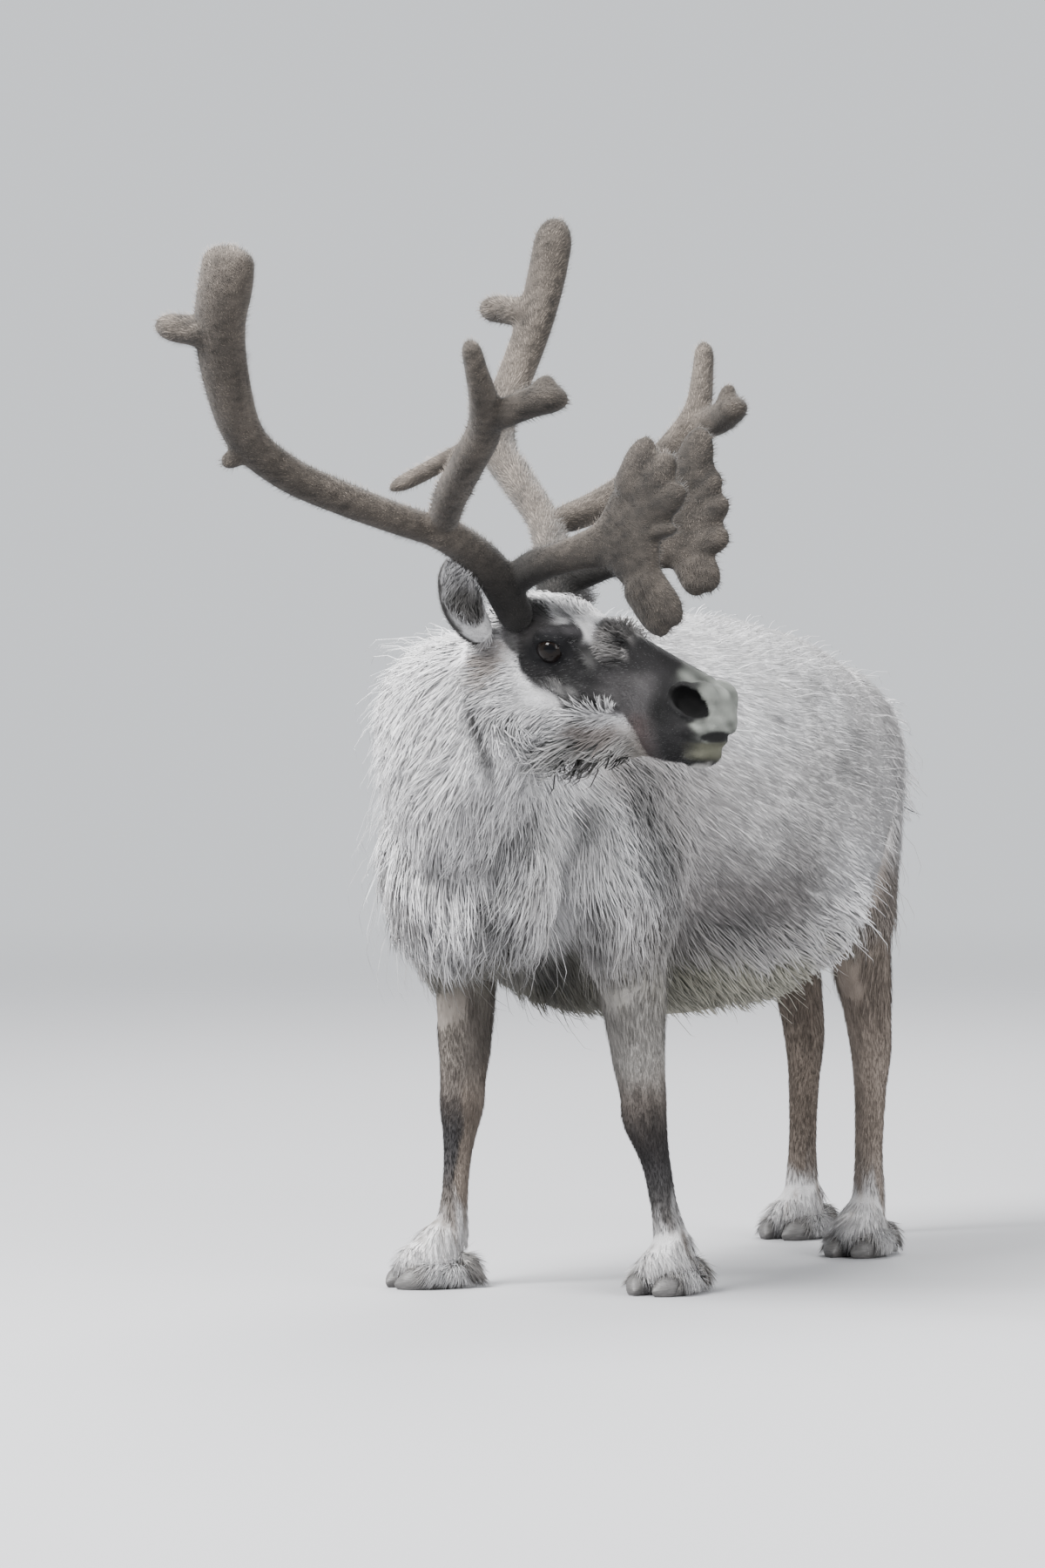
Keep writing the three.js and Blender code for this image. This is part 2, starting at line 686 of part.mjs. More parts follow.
// The long coat. Barrel angles: 0 is the animal's left, 90 its back, 180 its right, -90 its belly.
const FLANK_HAIR = { t: [0.26, 0.8], rows: 5, count: 2, length: 84, width: 27, down: 0.5 };
const RUMP_HAIR = { t: [0.8, 0.95], rows: 2, length: 62, width: 25, lift: 6 };
const SHOULDER_HAIR = { t: [0.5, 0.86], rows: 2, count: 3, length: 74, width: 23 };
const HAUNCH_HAIR = { t: [0.3, 0.8], count: 2, length: 70, width: 24, lift: 6 };
const NECK_HAIR = { t: [0.26, 0.92], rows: 4, count: 3, width: 29, lift: 5 };
const torsoLocks = ([barrel, shoulderLeft, shoulderRight, haunchLeft, haunchRight]) => [
  ...locksOn(barrel, { ...FLANK_HAIR, angle: [-70, -20], seed: 11 }),
  ...locksOn(barrel, { ...FLANK_HAIR, angle: [-110, -160], seed: 12 }),
  ...locksOn(barrel, { ...RUMP_HAIR, angle: [-40, 50], count: 2, seed: 13 }),
  ...locksOn(barrel, { ...RUMP_HAIR, angle: [120, 230], count: 2, seed: 14 }),
  ...locksOn(shoulderLeft, { ...SHOULDER_HAIR, angle: [-30, 170], seed: 15 }),
  ...locksOn(shoulderRight, { ...SHOULDER_HAIR, angle: [10, 210], seed: 16 }),
  ...locksOn(haunchLeft, { ...HAUNCH_HAIR, angle: [-120, -10], rows: 3, seed: 17 }),
  ...locksOn(haunchRight, { ...HAUNCH_HAIR, angle: [-170, -60], rows: 2, seed: 18 }),
];
const BRISKET_HAIR = { t: [0.3, 0.88], angle: [-30, 210], rows: 3, count: 5, length: 96, width: 29 };
const neckLocks = ([neck, brisket]) => [
  ...locksOn(neck, { ...NECK_HAIR, angle: [-88, 20], length: 76, seed: 21 }),
  ...locksOn(neck, { ...NECK_HAIR, angle: [-92, -200], length: 72, seed: 22 }),
  ...locksOn(brisket, { ...BRISKET_HAIR, lift: 8, seed: 23 }),
];
// The ruff grows back towards the neck. Head angles: 0 is the head's right side and -90 its underside.
const CHEEK_HAIR = { t: [0.16, 0.48], angle: [-150, -30], rows: 2, count: 4, length: 66, width: 25 };
const headLocks = (skull) => locksOn(skull, { ...CHEEK_HAIR, along: -1, seed: 31 });
const TAIL_HAIR = { t: [0.5, 0.9], angle: [0, 360], rows: 2, count: 2, length: 52, width: 18 };
const tailLocks = (tail) => locksOn(tail, { ...TAIL_HAIR, lift: 4, seed: 41 });

// Assembly
const pieces = [];
const addPiece = (name, solid, material) =>
  pieces.push({ name, solid: mainBody(solid.simplify(SIMPLIFY)), material });
const grown = (forms, grow = GAP) => join(forms.map((form) => form.solid(grow)));
const plain = (forms) => join(forms.map((form) => form.solid()));

// Antlers: the lower beam first, then what grows from it
const antlerTools = [];
for (const word of ["left", "right"]) {
  const { lower, upper, bez, brow } = antlerForms(word);
  const lowerGrown = grown(lower);
  const bezGrown = grown(bez);
  addPiece(`antler_${word}_base`, plain(lower), VELVET);
  addPiece(`antler_${word}_bez`, plain(bez).subtract(lowerGrown), VELVET);
  addPiece(`antler_${word}_beam`, plain(upper).subtract(lowerGrown).subtract(bezGrown), VELVET);
  addPiece(`antler_${word}_brow`, plain(brow).subtract(lowerGrown), VELVET);
  antlerTools.push(lowerGrown, grown(brow));
}

// Head, ears and eyes
const ears = { left: earForms(EARS.left), right: earForms(EARS.right) };
const eyes = { left: eyeForm(1), right: eyeForm(-1) };
const skull = skin(SKULL, { sides: 16, rings: 16, blunt: 0.1, frame: HEAD_FRAME });
const furredHead = withLocks(join(headForms(skull)), headLocks(skull));
const headWhole = furredHead.solid.subtract(join(headCuts()));
const headTools = [...antlerTools];
for (const word of ["left", "right"]) {
  addPiece(`eye_${word}`, eyes[word].solid(), EYE);
  const shellSolid = ears[word].shell.solid().subtract(ears[word].cup.solid());
  addPiece(`ear_${word}`, shellSolid.subtract(join(antlerTools)), GREY_COAT);
  headTools.push(eyes[word].solid(GAP), ears[word].shell.solid(GAP));
}
addPiece("head", headWhole.subtract(join(headTools)), FACE_COAT);

// Legs, cut at the knee or hock and at the fetlock, then feet
function slabsOf(solid, heights) {
  const cuts = [Infinity, ...heights, -Infinity];
  return cuts.slice(1).map((low, i) => {
    const below = Number.isFinite(cuts[i]) ? solid.trimByPlane([0, 0, -1], -(cuts[i] - GAP / 2)) : solid;
    return Number.isFinite(low) ? below.trimByPlane(UP, low + GAP / 2) : below;
  });
}
const legTools = [];
for (const leg of LEGS) {
  const form = legForm(leg);
  const { pastern, claws } = footPieces(leg);
  const clawTools = join(claws.map(({ form: claw }) => claw.solid(GAP)));
  const [upper, lower, ankle] = slabsOf(form.solid(), [leg.joint, FETLOCK]);
  const pasternSolid = pastern.solid().trimByPlane(UP, 2).trimByPlane([0, 0, -1], -(FETLOCK - GAP / 2));
  addPiece(`${leg.name}_upper`, upper, LEG_COAT);
  addPiece(`${leg.name}_lower`, lower, LEG_COAT);
  addPiece(`${leg.name}_foot`, join([ankle, pasternSolid]).subtract(clawTools), WHITE_COAT);
  for (const { name, form: claw } of claws) {
    addPiece(name, claw.solid().trimByPlane(UP, SOLE_FLOOR), HOOF);
  }
  legTools.push(form.solid(GAP));
}

// Torso, tail and neck
const trunk = torsoForms();
const furredTorso = withLocks(plain(trunk), torsoLocks(trunk));
const tail = tailForm();
const furredTail = withLocks(tail.solid(), tailLocks(tail));
const tailTools = [tail.solid(GAP), ...furredTail.cutter];
addPiece("torso", furredTorso.solid.subtract(join([...legTools, ...tailTools])), GREY_COAT);
addPiece("tail", furredTail.solid, WHITE_COAT);
const throat = neckForms();
const neckTools = [
  grown(trunk),
  ...furredTorso.cutter,
  ...headForms(skull, GAP),
  ...furredHead.cutter,
  ears.left.shell.solid(GAP),
  ears.right.shell.solid(GAP),
  ...antlerTools,
  ...legTools,
];
addPiece("neck", withLocks(plain(throat), neckLocks(throat)).solid.subtract(join(neckTools)), WHITE_COAT);

// The scene graph, with the floor-level centre of the whole animal at the origin
function meshOf({ name, solid, material }) {
  const { vertProperties, triVerts } = solid.getMesh();
  const geometry = new THREE.BufferGeometry();
  geometry.setAttribute("position", new THREE.BufferAttribute(vertProperties, 3));
  geometry.setIndex(new THREE.BufferAttribute(triVerts, 1));
  geometry.computeVertexNormals();
  const mesh = new THREE.Mesh(geometry, material);
  mesh.name = name;
  return mesh;
}
const reindeer = new THREE.Group();
reindeer.add(...pieces.map(meshOf));
const bounds = new THREE.Box3().setFromObject(reindeer);
const middle = bounds.getCenter(new THREE.Vector3());
reindeer.position.set(-middle.x, -middle.y, 0);

export default reindeer;
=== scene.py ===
# %% [markdown]
# # A reindeer bull in summer velvet, life size
#
# The object is a museum-style model of a small northern reindeer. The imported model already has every
# part at its true place, as faceted solids with the antlers, ears, hooves and coarse locks. This lesson
# dresses it: one smooth skin, a coat of many small tufts, velvet antlers, wet eyes and horny hooves.

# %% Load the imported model
import bpy
import numpy as np
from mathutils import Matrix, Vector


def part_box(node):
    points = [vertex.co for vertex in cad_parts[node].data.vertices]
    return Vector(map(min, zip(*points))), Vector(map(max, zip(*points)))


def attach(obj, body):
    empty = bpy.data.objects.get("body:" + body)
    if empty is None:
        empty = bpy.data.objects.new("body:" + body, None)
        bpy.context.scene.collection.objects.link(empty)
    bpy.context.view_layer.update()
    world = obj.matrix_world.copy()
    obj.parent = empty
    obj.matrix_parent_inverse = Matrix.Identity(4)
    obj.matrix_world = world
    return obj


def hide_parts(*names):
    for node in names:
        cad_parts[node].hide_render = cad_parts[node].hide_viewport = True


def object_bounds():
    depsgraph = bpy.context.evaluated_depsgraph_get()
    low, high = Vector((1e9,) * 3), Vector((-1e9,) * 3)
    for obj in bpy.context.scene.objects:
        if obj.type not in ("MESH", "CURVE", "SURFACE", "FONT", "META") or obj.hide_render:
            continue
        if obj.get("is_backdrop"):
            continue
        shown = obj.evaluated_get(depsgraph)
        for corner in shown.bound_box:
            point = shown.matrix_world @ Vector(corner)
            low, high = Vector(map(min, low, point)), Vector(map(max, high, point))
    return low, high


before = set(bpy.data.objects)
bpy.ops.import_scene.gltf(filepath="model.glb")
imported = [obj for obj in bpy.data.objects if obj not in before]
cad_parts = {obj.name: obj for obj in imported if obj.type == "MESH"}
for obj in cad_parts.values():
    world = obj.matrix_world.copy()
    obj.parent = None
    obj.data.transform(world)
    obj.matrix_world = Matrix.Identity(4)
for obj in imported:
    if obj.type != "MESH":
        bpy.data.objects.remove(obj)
cad_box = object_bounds()
print("packed nodes:", len(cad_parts))

# %% [markdown]
# Lengths below are millimetres in the animal's own axes: it faces -Y, its left side is +X and the floor
# is Z = 0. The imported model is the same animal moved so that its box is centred, so a single offset
# carries these numbers into the frame. The two eyes give that offset, because their midpoint is named.

# %% Axes and offset
MM = 0.001
UP = np.array([0.0, 0.0, 1.0])
FRONT = np.array([0.0, -1.0, 0.0])
HEAD_AT = np.array([224.0, -249.0, 795.0])
HEAD_TURN = np.radians(94)
HEAD_AXES = np.array(
    [
        [np.sin(HEAD_TURN), -np.cos(HEAD_TURN), 0.0],
        [np.cos(HEAD_TURN), np.sin(HEAD_TURN), 0.0],
        [0.0, 0.0, 1.0],
    ]
)
eye_corners = np.array([corner for eye in ("eye_left", "eye_right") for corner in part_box(eye)])
OFFSET = eye_corners.mean(0) - HEAD_AT * MM
print("offset of the frame in mm:", (OFFSET / MM).round(2))


def from_head(points):
    """Forward, left and up of the head become model millimetres: the eyes' midpoint plus three axes."""
    return HEAD_AT + np.asarray(points, float) @ HEAD_AXES


def to_head(points):
    """Model millimetres become forward, left and up of the head."""
    return (np.asarray(points, float) - HEAD_AT) @ HEAD_AXES.T


# %% [markdown]
# The camera stands where the photographer stood: low, about ten metres away, with a long lens, a third of
# the way round from the animal's front towards its left side. A long lens keeps the near antler from
# growing too large against the rump.

# %% Camera
VIEW_AZIMUTH = np.radians(32)
VIEW_DISTANCE = 10.6
VIEW_HEIGHT = 1.0076
VIEW_PITCH = np.radians(2.082)
camera_data = bpy.data.cameras.new("camera")
camera_data.lens = 200
camera_data.sensor_width = 36
camera = bpy.data.objects.new("camera", camera_data)
bpy.context.scene.collection.objects.link(camera)
stand = np.array([np.sin(VIEW_AZIMUTH), -np.cos(VIEW_AZIMUTH), 0.0]) * VIEW_DISTANCE
camera.location = OFFSET * [1, 1, 0] + stand + UP * VIEW_HEIGHT
camera.rotation_euler = (np.pi / 2 - VIEW_PITCH, 0.0, VIEW_AZIMUTH)
bpy.context.scene.camera = camera
print("camera at", np.round(camera.location, 3))

# %% [markdown]
# A few small helpers work on whole arrays at once. `ramp` is the soft step that every marking and every
# change of hair length uses, and `wander` is a smooth random field that makes neighbouring hairs agree.

# %% Array helpers
TAU = 2 * np.pi
WAVES = 7


def unit(vectors):
    """Each vector divided by its length."""
    return vectors / np.maximum(np.linalg.norm(vectors, axis=-1, keepdims=True), 1e-9)


def dot(a, b):
    """Sum of products along the last axis."""
    return (a * b).sum(-1)


def ramp(x, start, end):
    """0 before start, 1 after end, and 3s^2 - 2s^3 between."""
    s = np.clip((x - start) / (end - start), 0, 1)
    return s * s * (3 - 2 * s)


def hump(x, middle, reach):
    """1 at the middle, falling to 0 at a distance of reach on both sides."""
    return 1 - ramp(np.abs(x - middle), 0, reach)


def mix(a, b, share):
    """a where share is 0, b where it is 1."""
    share = np.asarray(share)[..., None]
    return np.asarray(a) * (1 - share) + np.asarray(b) * share


def wander(points, size, seed, axes=3):
    """A smooth field: the mean of a few sine waves in random directions, about `size` long."""
    rng = np.random.default_rng(seed)
    waves = rng.normal(size=(WAVES, 3)) / size * 2.0
    phase = rng.uniform(0, TAU, (axes, WAVES))
    turned = points @ waves.T
    return np.stack([np.sin(turned + p).sum(-1) for p in phase], -1) / np.sqrt(WAVES)


# %% [markdown]
# Legs, trunk, neck, muzzle, ears and antlers are all the same kind of surface: an oval that changes size
# as it travels along a smooth curve. The stations are the ones the solids were made from, and `inset`
# draws the surface in by the depth of the coat that will grow on it.

# %% Forms: an oval carried along a curve
STEP = 1e-3


def along(rows, t):
    """Catmull-Rom: between two rows a cubic whose slope at a row is half the step between its neighbours."""
    padded = np.vstack([2 * rows[0] - rows[1], rows, 2 * rows[-1] - rows[-2]])
    place = np.clip(t, 0, 1) * (len(rows) - 1)
    i = np.minimum(place.astype(int), len(rows) - 2)
    u = (place - i)[..., None]
    before, start, end, after = (padded[i + k] for k in range(4))
    leave, arrive = (end - before) / 2, (after - start) / 2
    return (
        (2 * u**3 - 3 * u**2 + 1) * start
        + (u**3 - 2 * u**2 + u) * leave
        + (3 * u**2 - 2 * u**3) * end
        + (u**3 - u**2) * arrive
    )


class Form:
    """A closed skin over stations of centre, half width, reach over and reach under.

    A point at t along and angle a round is
    centre(t) + cos(a) * width(t) * e(t) * side + sin(a) * reach(t) * e(t) * rise,
    where e = sqrt(1 - (1 - d)^2) rounds both ends off over the share `blunt` of the length.
    """

    def __init__(self, rows, over=UP, blunt=0.1, inset=0.0, axes=None, origin=None):
        """A row may leave out its last sizes, which are then the last one that it gives."""
        full = np.array([[*row, *[row[-1]] * (6 - len(row))] for row in rows], float)
        self.centres, self.sizes = full[:, :3], full[:, 3:]
        self.over, self.blunt, self.inset = np.asarray(over, float), blunt, inset
        if axes is not None:
            self.centres = origin + self.centres @ axes
            self.over = self.over @ axes

    def section(self, t):
        """Centre, tangent, side, rise, sizes and end rounding at t."""
        t = np.asarray(t, float)
        ahead = along(self.centres, np.minimum(t + STEP, 1)) - along(self.centres, np.maximum(t - STEP, 0))
        tangent = unit(ahead)
        side = unit(np.cross(tangent, self.over))
        size = np.maximum(along(self.sizes, t) - self.inset, 1.0)
        near_end = np.clip(np.minimum(t, 1 - t) / self.blunt, 0, 1)
        end = np.sqrt(1 - (1 - near_end) ** 2)
        return along(self.centres, t), tangent, side, np.cross(side, tangent), size, end

    def at(self, t, angle):
        """Points of the surface; t and angle are arrays of one shape."""
        centre, _, side, rise, size, end = self.section(t)
        reach = np.where(np.sin(angle) > 0, size[..., 1], size[..., 2])
        across = (np.cos(angle) * size[..., 0] * end)[..., None] * side
        return centre + across + (np.sin(angle) * reach * end)[..., None] * rise

    def grid(self, rings, sides):
        """Points and faces of rings - 1 rings, closer together near the ends, and of the two poles."""
        stops = 0.5 - 0.5 * np.cos(np.pi * np.linspace(0, 1, rings + 1))
        stops = 0.35 * np.linspace(0, 1, rings + 1) + 0.65 * stops
        t, angle = np.meshgrid(stops[1:-1], TAU * np.arange(sides) / sides, indexing="ij")
        ends = self.at(np.array([0.0, 1.0]), np.zeros(2))
        points = np.vstack([self.at(t, angle).reshape(-1, 3), ends])
        quads, fans = tube_faces(rings - 1, sides)
        return points, quads[:, ::-1], fans[:, ::-1]

    def nearest(self, points, samples=61):
        """For each point: the nearest place t, the angle there, how many radii out it lies, the tangent."""
        stops = np.linspace(0, 1, samples)
        centre, tangent, side, rise, size, _ = self.section(stops)
        gaps = (points**2).sum(1)[:, None] - 2 * points @ centre.T + (centre**2).sum(1)
        i = gaps.argmin(1)
        offset = points - centre[i]
        x = dot(offset, side[i]) / size[i, 0]
        y = dot(offset, rise[i])
        y = y / np.where(y > 0, size[i, 1], size[i, 2])
        beyond = dot(offset, tangent[i]) / size[i].mean(1)
        return stops[i], np.arctan2(y, x), np.sqrt(x * x + y * y + beyond**2), tangent[i]


def tube_faces(rings, sides):
    """Quads between neighbouring rings, and a fan of triangles to the pole at each end."""
    i, j = np.meshgrid(np.arange(rings - 1), np.arange(sides), indexing="ij")
    k = (j + 1) % sides
    quads = np.stack([i * sides + j, i * sides + k, (i + 1) * sides + k, (i + 1) * sides + j], -1)
    first, last = rings * sides, rings * sides + 1
    j, k = np.arange(sides), (np.arange(sides) + 1) % sides
    fans = [np.stack([np.full(sides, first), k, j], -1)]
    fans.append(np.stack([np.full(sides, last), (rings - 1) * sides + j, (rings - 1) * sides + k], -1))
    return quads.reshape(-1, 4), np.vstack(fans)


# %% [markdown]
# A mesh here is three arrays: points, faces of four corners and faces of three. Where several forms
# overlap, as a thigh and a belly do, a voxel remesh turns them into one closed skin, and a few rounds of
# smoothing make the folds between them as soft as they are under a coat.

# %% Mesh helpers
def make_object(name, points, quads, triangles):
    """A mesh object from arrays, its millimetres turned into the frame's metres."""
    mesh = bpy.data.meshes.new(name)
    corners = np.concatenate([quads.ravel(), triangles.ravel()]).astype(np.int32)
    starts = np.concatenate([4 * np.arange(len(quads)), 4 * len(quads) + 3 * np.arange(len(triangles))])
    mesh.vertices.add(len(points))
    mesh.vertices.foreach_set("co", (points * MM + OFFSET).ravel())
    mesh.loops.add(len(corners))
    mesh.loops.foreach_set("vertex_index", corners)
    mesh.polygons.add(len(starts))
    mesh.polygons.foreach_set("loop_start", starts.astype(np.int32))
    mesh.update(calc_edges=True)
    mesh.shade_smooth()
    piece = bpy.data.objects.new(name, mesh)
    bpy.context.scene.collection.objects.link(piece)
    return piece


def joined(grids):
    """Several grids as one set of points and faces."""
    points, quads, triangles, count = [], [], [], 0
    for p, q, t in grids:
        points.append(p)
        quads.append(q + count)
        triangles.append(t + count)
        count += len(p)
    return np.vstack(points), np.vstack(quads), np.vstack(triangles)


def arrays_of(mesh):
    """Points in millimetres, quads and triangles of a mesh."""
    points = np.empty(len(mesh.vertices) * 3)
    mesh.vertices.foreach_get("co", points)
    corners = np.empty(len(mesh.loops), np.int32)
    mesh.loops.foreach_get("vertex_index", corners)
    starts = np.empty(len(mesh.polygons), np.int32)
    mesh.polygons.foreach_get("loop_start", starts)
    sizes = np.diff(np.append(starts, len(corners)))
    quads = corners[starts[sizes == 4][:, None] + np.arange(4)]
    triangles = corners[starts[sizes == 3][:, None] + np.arange(3)]
    return (points.reshape(-1, 3) - OFFSET) / MM, quads, triangles


def weld(name, grids, voxel, rounds, cuts=(), final_voxel=None):
    """Overlapping closed forms become one skin: a voxel remesh, any cuts, then smoothing."""
    body = make_object(name, *joined(grids))
    first = body.modifiers.new("weld", "REMESH")
    first.mode, first.voxel_size = "VOXEL", voxel * MM
    if cuts:
        cutter = make_object(name + "_cut", *joined(cuts))
        cut = body.modifiers.new("cut", "BOOLEAN")
        cut.operation, cut.solver, cut.object = "DIFFERENCE", "EXACT", cutter
        cut.use_self = True
        again = body.modifiers.new("again", "REMESH")
        again.mode, again.voxel_size = "VOXEL", (final_voxel or voxel) * MM
    soften = body.modifiers.new("soften", "SMOOTH")
    soften.factor, soften.iterations = 0.5, rounds
    evaluated = body.evaluated_get(bpy.context.evaluated_depsgraph_get())
    mesh = bpy.data.meshes.new_from_object(evaluated)
    result = arrays_of(mesh)
    bpy.data.meshes.remove(mesh)
    bpy.data.objects.remove(body)
    if cuts:
        bpy.data.objects.remove(cutter)
    print(f"{name}: {len(result[0])} points, {len(result[1])} quads")
    return result


def split_quads(quads, triangles):
    """All faces as triangles."""
    return np.vstack([quads[:, [0, 1, 2]], quads[:, [0, 2, 3]], triangles])


def normals_of(points, triangles):
    """Unit normals at the points: the sum of the cross products of the triangles that meet there."""
    a, b, c = (points[corner] for corner in triangles.T)
    cross = np.cross(b - a, c - a)
    total = [sum(np.bincount(corner, part, len(points)) for corner in triangles.T) for part in cross.T]
    return unit(np.stack(total, -1))


def radii_out(points, forms):
    """How many radii out of the nearest of the forms each point lies; 1 is on its surface."""
    return np.min([form.nearest(points)[2] for form in forms], 0)


def put_in_frame(piece, material):
    """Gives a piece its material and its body."""
    piece.data.materials.append(material)
    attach(piece, "root")


# %% [markdown]
# ## Trunk, neck and tail
# The trunk is a barrel with two shoulders and two haunches, the neck bends round to the animal's left, and
# a hanging front joins it to the chest. Welding them by voxels gives one skin with soft joints between
# limbs and barrel, which no single oval could.

# %% Stations of the trunk
BARREL = [
    [0, -110, 590, 84, 130, 90],
    [0, -40, 605, 140, 196, 190],
    [0, 60, 610, 182, 222, 250],
    [-2, 200, 590, 208, 242, 256],
    [-6, 340, 575, 226, 256, 262],
    [-14, 480, 580, 228, 250, 250],
    [-28, 600, 600, 196, 216, 200],
    [-46, 700, 612, 162, 178, 160],
    [-60, 800, 618, 122, 140, 120],
    [-66, 890, 622, 84, 98, 84],
    [-66, 945, 622, 52, 60, 52],
]
SHOULDER = [
    [70, 120, 775, 40, 60, 60],
    [105, 60, 660, 72, 96, 96],
    [128, 30, 540, 74, 92, 88],
    [126, 40, 430, 52, 66, 64],
    [126, 46, 360, 42, 50, 52],
]
HAUNCH_LEFT = [
    [20, 740, 750, 40, 56, 56],
    [50, 700, 670, 64, 96, 96],
    [74, 660, 560, 68, 100, 94],
    [90, 652, 450, 54, 76, 74],
    [94, 664, 370, 40, 54, 52],
]
HAUNCH_RIGHT = [
    [-106, 750, 746, 42, 60, 60],
    [-128, 750, 670, 64, 100, 96],
    [-136, 766, 560, 64, 98, 90],
    [-128, 804, 450, 50, 72, 64],
    [-116, 832, 370, 40, 52, 50],
]
NECK = [
    [0, 90, 660, 104, 116, 150],
    [-4, -40, 672, 118, 130, 190],
    [4, -130, 700, 112, 110, 190],
    [44, -196, 735, 94, 80, 164],
    [100, -236, 760, 74, 62, 146],
    [160, -248, 770, 58, 56, 126],
    [205, -248, 768, 48, 48, 112],
    [245, -246, 762, 38, 40, 92],
]
BRISKET = [
    [0, -92, 660, 92, 90, 90],
    [-4, -116, 570, 108, 88, 110],
    [-6, -104, 490, 100, 80, 110],
    [-4, -76, 430, 74, 56, 84],
]
TAIL = [
    [-62, 916, 690, 20, 16, 16],
    [-64, 952, 676, 24, 20, 20],
    [-66, 982, 640, 26, 20, 20],
    [-66, 994, 596, 22, 16, 16],
    [-66, 996, 560, 12, 9, 9],
]

# %% [markdown]
# ## Legs
# Each leg is one tapering oval, thick at the forearm or thigh, knobbed at the knee or hock, thin along the
# cannon bone and spread again over the two toes. They are welded finer than the trunk, because short hair
# hides nothing there.

# %% Stations of the legs
FORELEG_LEFT = [
    [118, 54, 500, 38, 48, 50],
    [125, 48, 400, 38, 46, 52],
    [130, 56, 300, 31, 37, 41],
    [134, 62, 250, 28, 32, 31],
    [135, 66, 215, 27, 31, 28],
    [138, 84, 165, 18, 20, 21],
    [141, 99, 110, 16, 18, 20],
    [144, 108, 70, 20, 22, 25],
    [145, 110, 46, 22, 24, 26],
]
FORELEG_RIGHT = [
    [-116, 60, 500, 38, 48, 50],
    [-120, 58, 400, 36, 44, 50],
    [-122, 60, 300, 31, 36, 38],
    [-124, 60, 255, 28, 31, 30],
    [-124, 58, 222, 27, 31, 28],
    [-125, 50, 170, 18, 20, 21],
    [-126, 44, 115, 16, 18, 20],
    [-127, 38, 72, 20, 22, 25],
    [-128, 34, 46, 22, 24, 26],
]
HINDLEG_LEFT = [
    [96, 640, 500, 40, 62, 56],
    [94, 664, 400, 38, 50, 42],
    [92, 684, 320, 30, 34, 36],
    [92, 694, 262, 25, 29, 33],
    [92, 694, 205, 20, 24, 22],
    [92, 690, 135, 18, 19, 20],
    [92, 690, 85, 20, 22, 24],
    [92, 688, 48, 22, 24, 26],
]
HINDLEG_RIGHT = [
    [-122, 800, 500, 40, 60, 56],
    [-116, 836, 400, 36, 50, 42],
    [-111, 860, 320, 29, 34, 36],
    [-110, 872, 262, 25, 29, 33],
    [-108, 870, 205, 20, 24, 22],
    [-107, 864, 135, 18, 19, 20],
    [-107, 862, 85, 20, 22, 24],
    [-107, 858, 48, 22, 24, 26],
]
PASTERN = [
    [-18, 0, 86, 18, 19, 19],
    [-13, 0, 64, 23, 25, 27],
    [-4, 0, 42, 30, 34, 34],
    [6, 0, 24, 33, 42, 42],
    [8, 0, 8, 27, 36, 36],
]
LEGS = {
    "foreleg_left": (FORELEG_LEFT, [148, 98], 0),
    "foreleg_right": (FORELEG_RIGHT, [-139, 16], -34),
    "hindleg_left": (HINDLEG_LEFT, [92, 672], 4),
    "hindleg_right": (HINDLEG_RIGHT, [-106, 852], -4),
}
LEG_INSET = 1.0


def foot_axes(yaw):
    """Forward, left and up of a foot turned by yaw degrees from straight ahead."""
    turn = np.radians(yaw)
    return np.array([[np.sin(turn), -np.cos(turn), 0], [np.cos(turn), np.sin(turn), 0], [0, 0, 1]])


leg_forms = {}
for leg, (rows, foot, yaw) in LEGS.items():
    leg_forms[leg] = Form(rows, over=FRONT, blunt=0.06, inset=LEG_INSET)
    origin = np.array([*foot, 0.0])
    leg_forms[leg + "_foot"] = Form(
        PASTERN, over=[1, 0, 0], blunt=0.25, inset=LEG_INSET, axes=foot_axes(yaw), origin=origin
    )
legs = weld("legs", [form.grid(60, 28) for form in leg_forms.values()], 4.8, 1)

# %% [markdown]
# The trunk is welded and smoothed together with the tops of the legs, so shoulder and thigh run into
# the limb in one soft fold; the finer leg skins start inside it.

# %% Trunk and leg tops as one skin
mirrored = [[-x, *rest] for x, *rest in SHOULDER]
trunk_forms = {
    "barrel": Form(BARREL, blunt=0.12, inset=9),
    "shoulder_left": Form(SHOULDER, over=FRONT, blunt=0.2, inset=7),
    "shoulder_right": Form(mirrored, over=FRONT, blunt=0.2, inset=7),
    "haunch_left": Form(HAUNCH_LEFT, over=FRONT, blunt=0.2, inset=7),
    "haunch_right": Form(HAUNCH_RIGHT, over=FRONT, blunt=0.2, inset=7),
    "neck": Form(NECK, blunt=0.1, inset=10),
    "brisket": Form(BRISKET, over=FRONT, blunt=0.22, inset=8),
    "tail": Form(TAIL, over=[0, 1, 0], blunt=0.2, inset=6),
}
LEG_TOP = 3
leg_tops = {leg: Form(rows[:LEG_TOP], over=FRONT, blunt=0.06, inset=9) for leg, (rows, _, _) in LEGS.items()}
body_forms = {**trunk_forms, **leg_tops}
trunk = weld("trunk", [form.grid(48, 36) for form in body_forms.values()], 8.0, 18)

# %% [markdown]
# ## Head
# The head is built in its own axes: forward to the nose, left, and up from the point between the eyes.
# A skull oval carries brows, cheeks, the flare of the nostrils, lips and chin as eggs, and each eye gets
# an upper and a lower lid that follow the eyeball. The mouth, the nostrils and the cups of the ears are
# cut out of the welded skin, because a dent would leave them shallow.

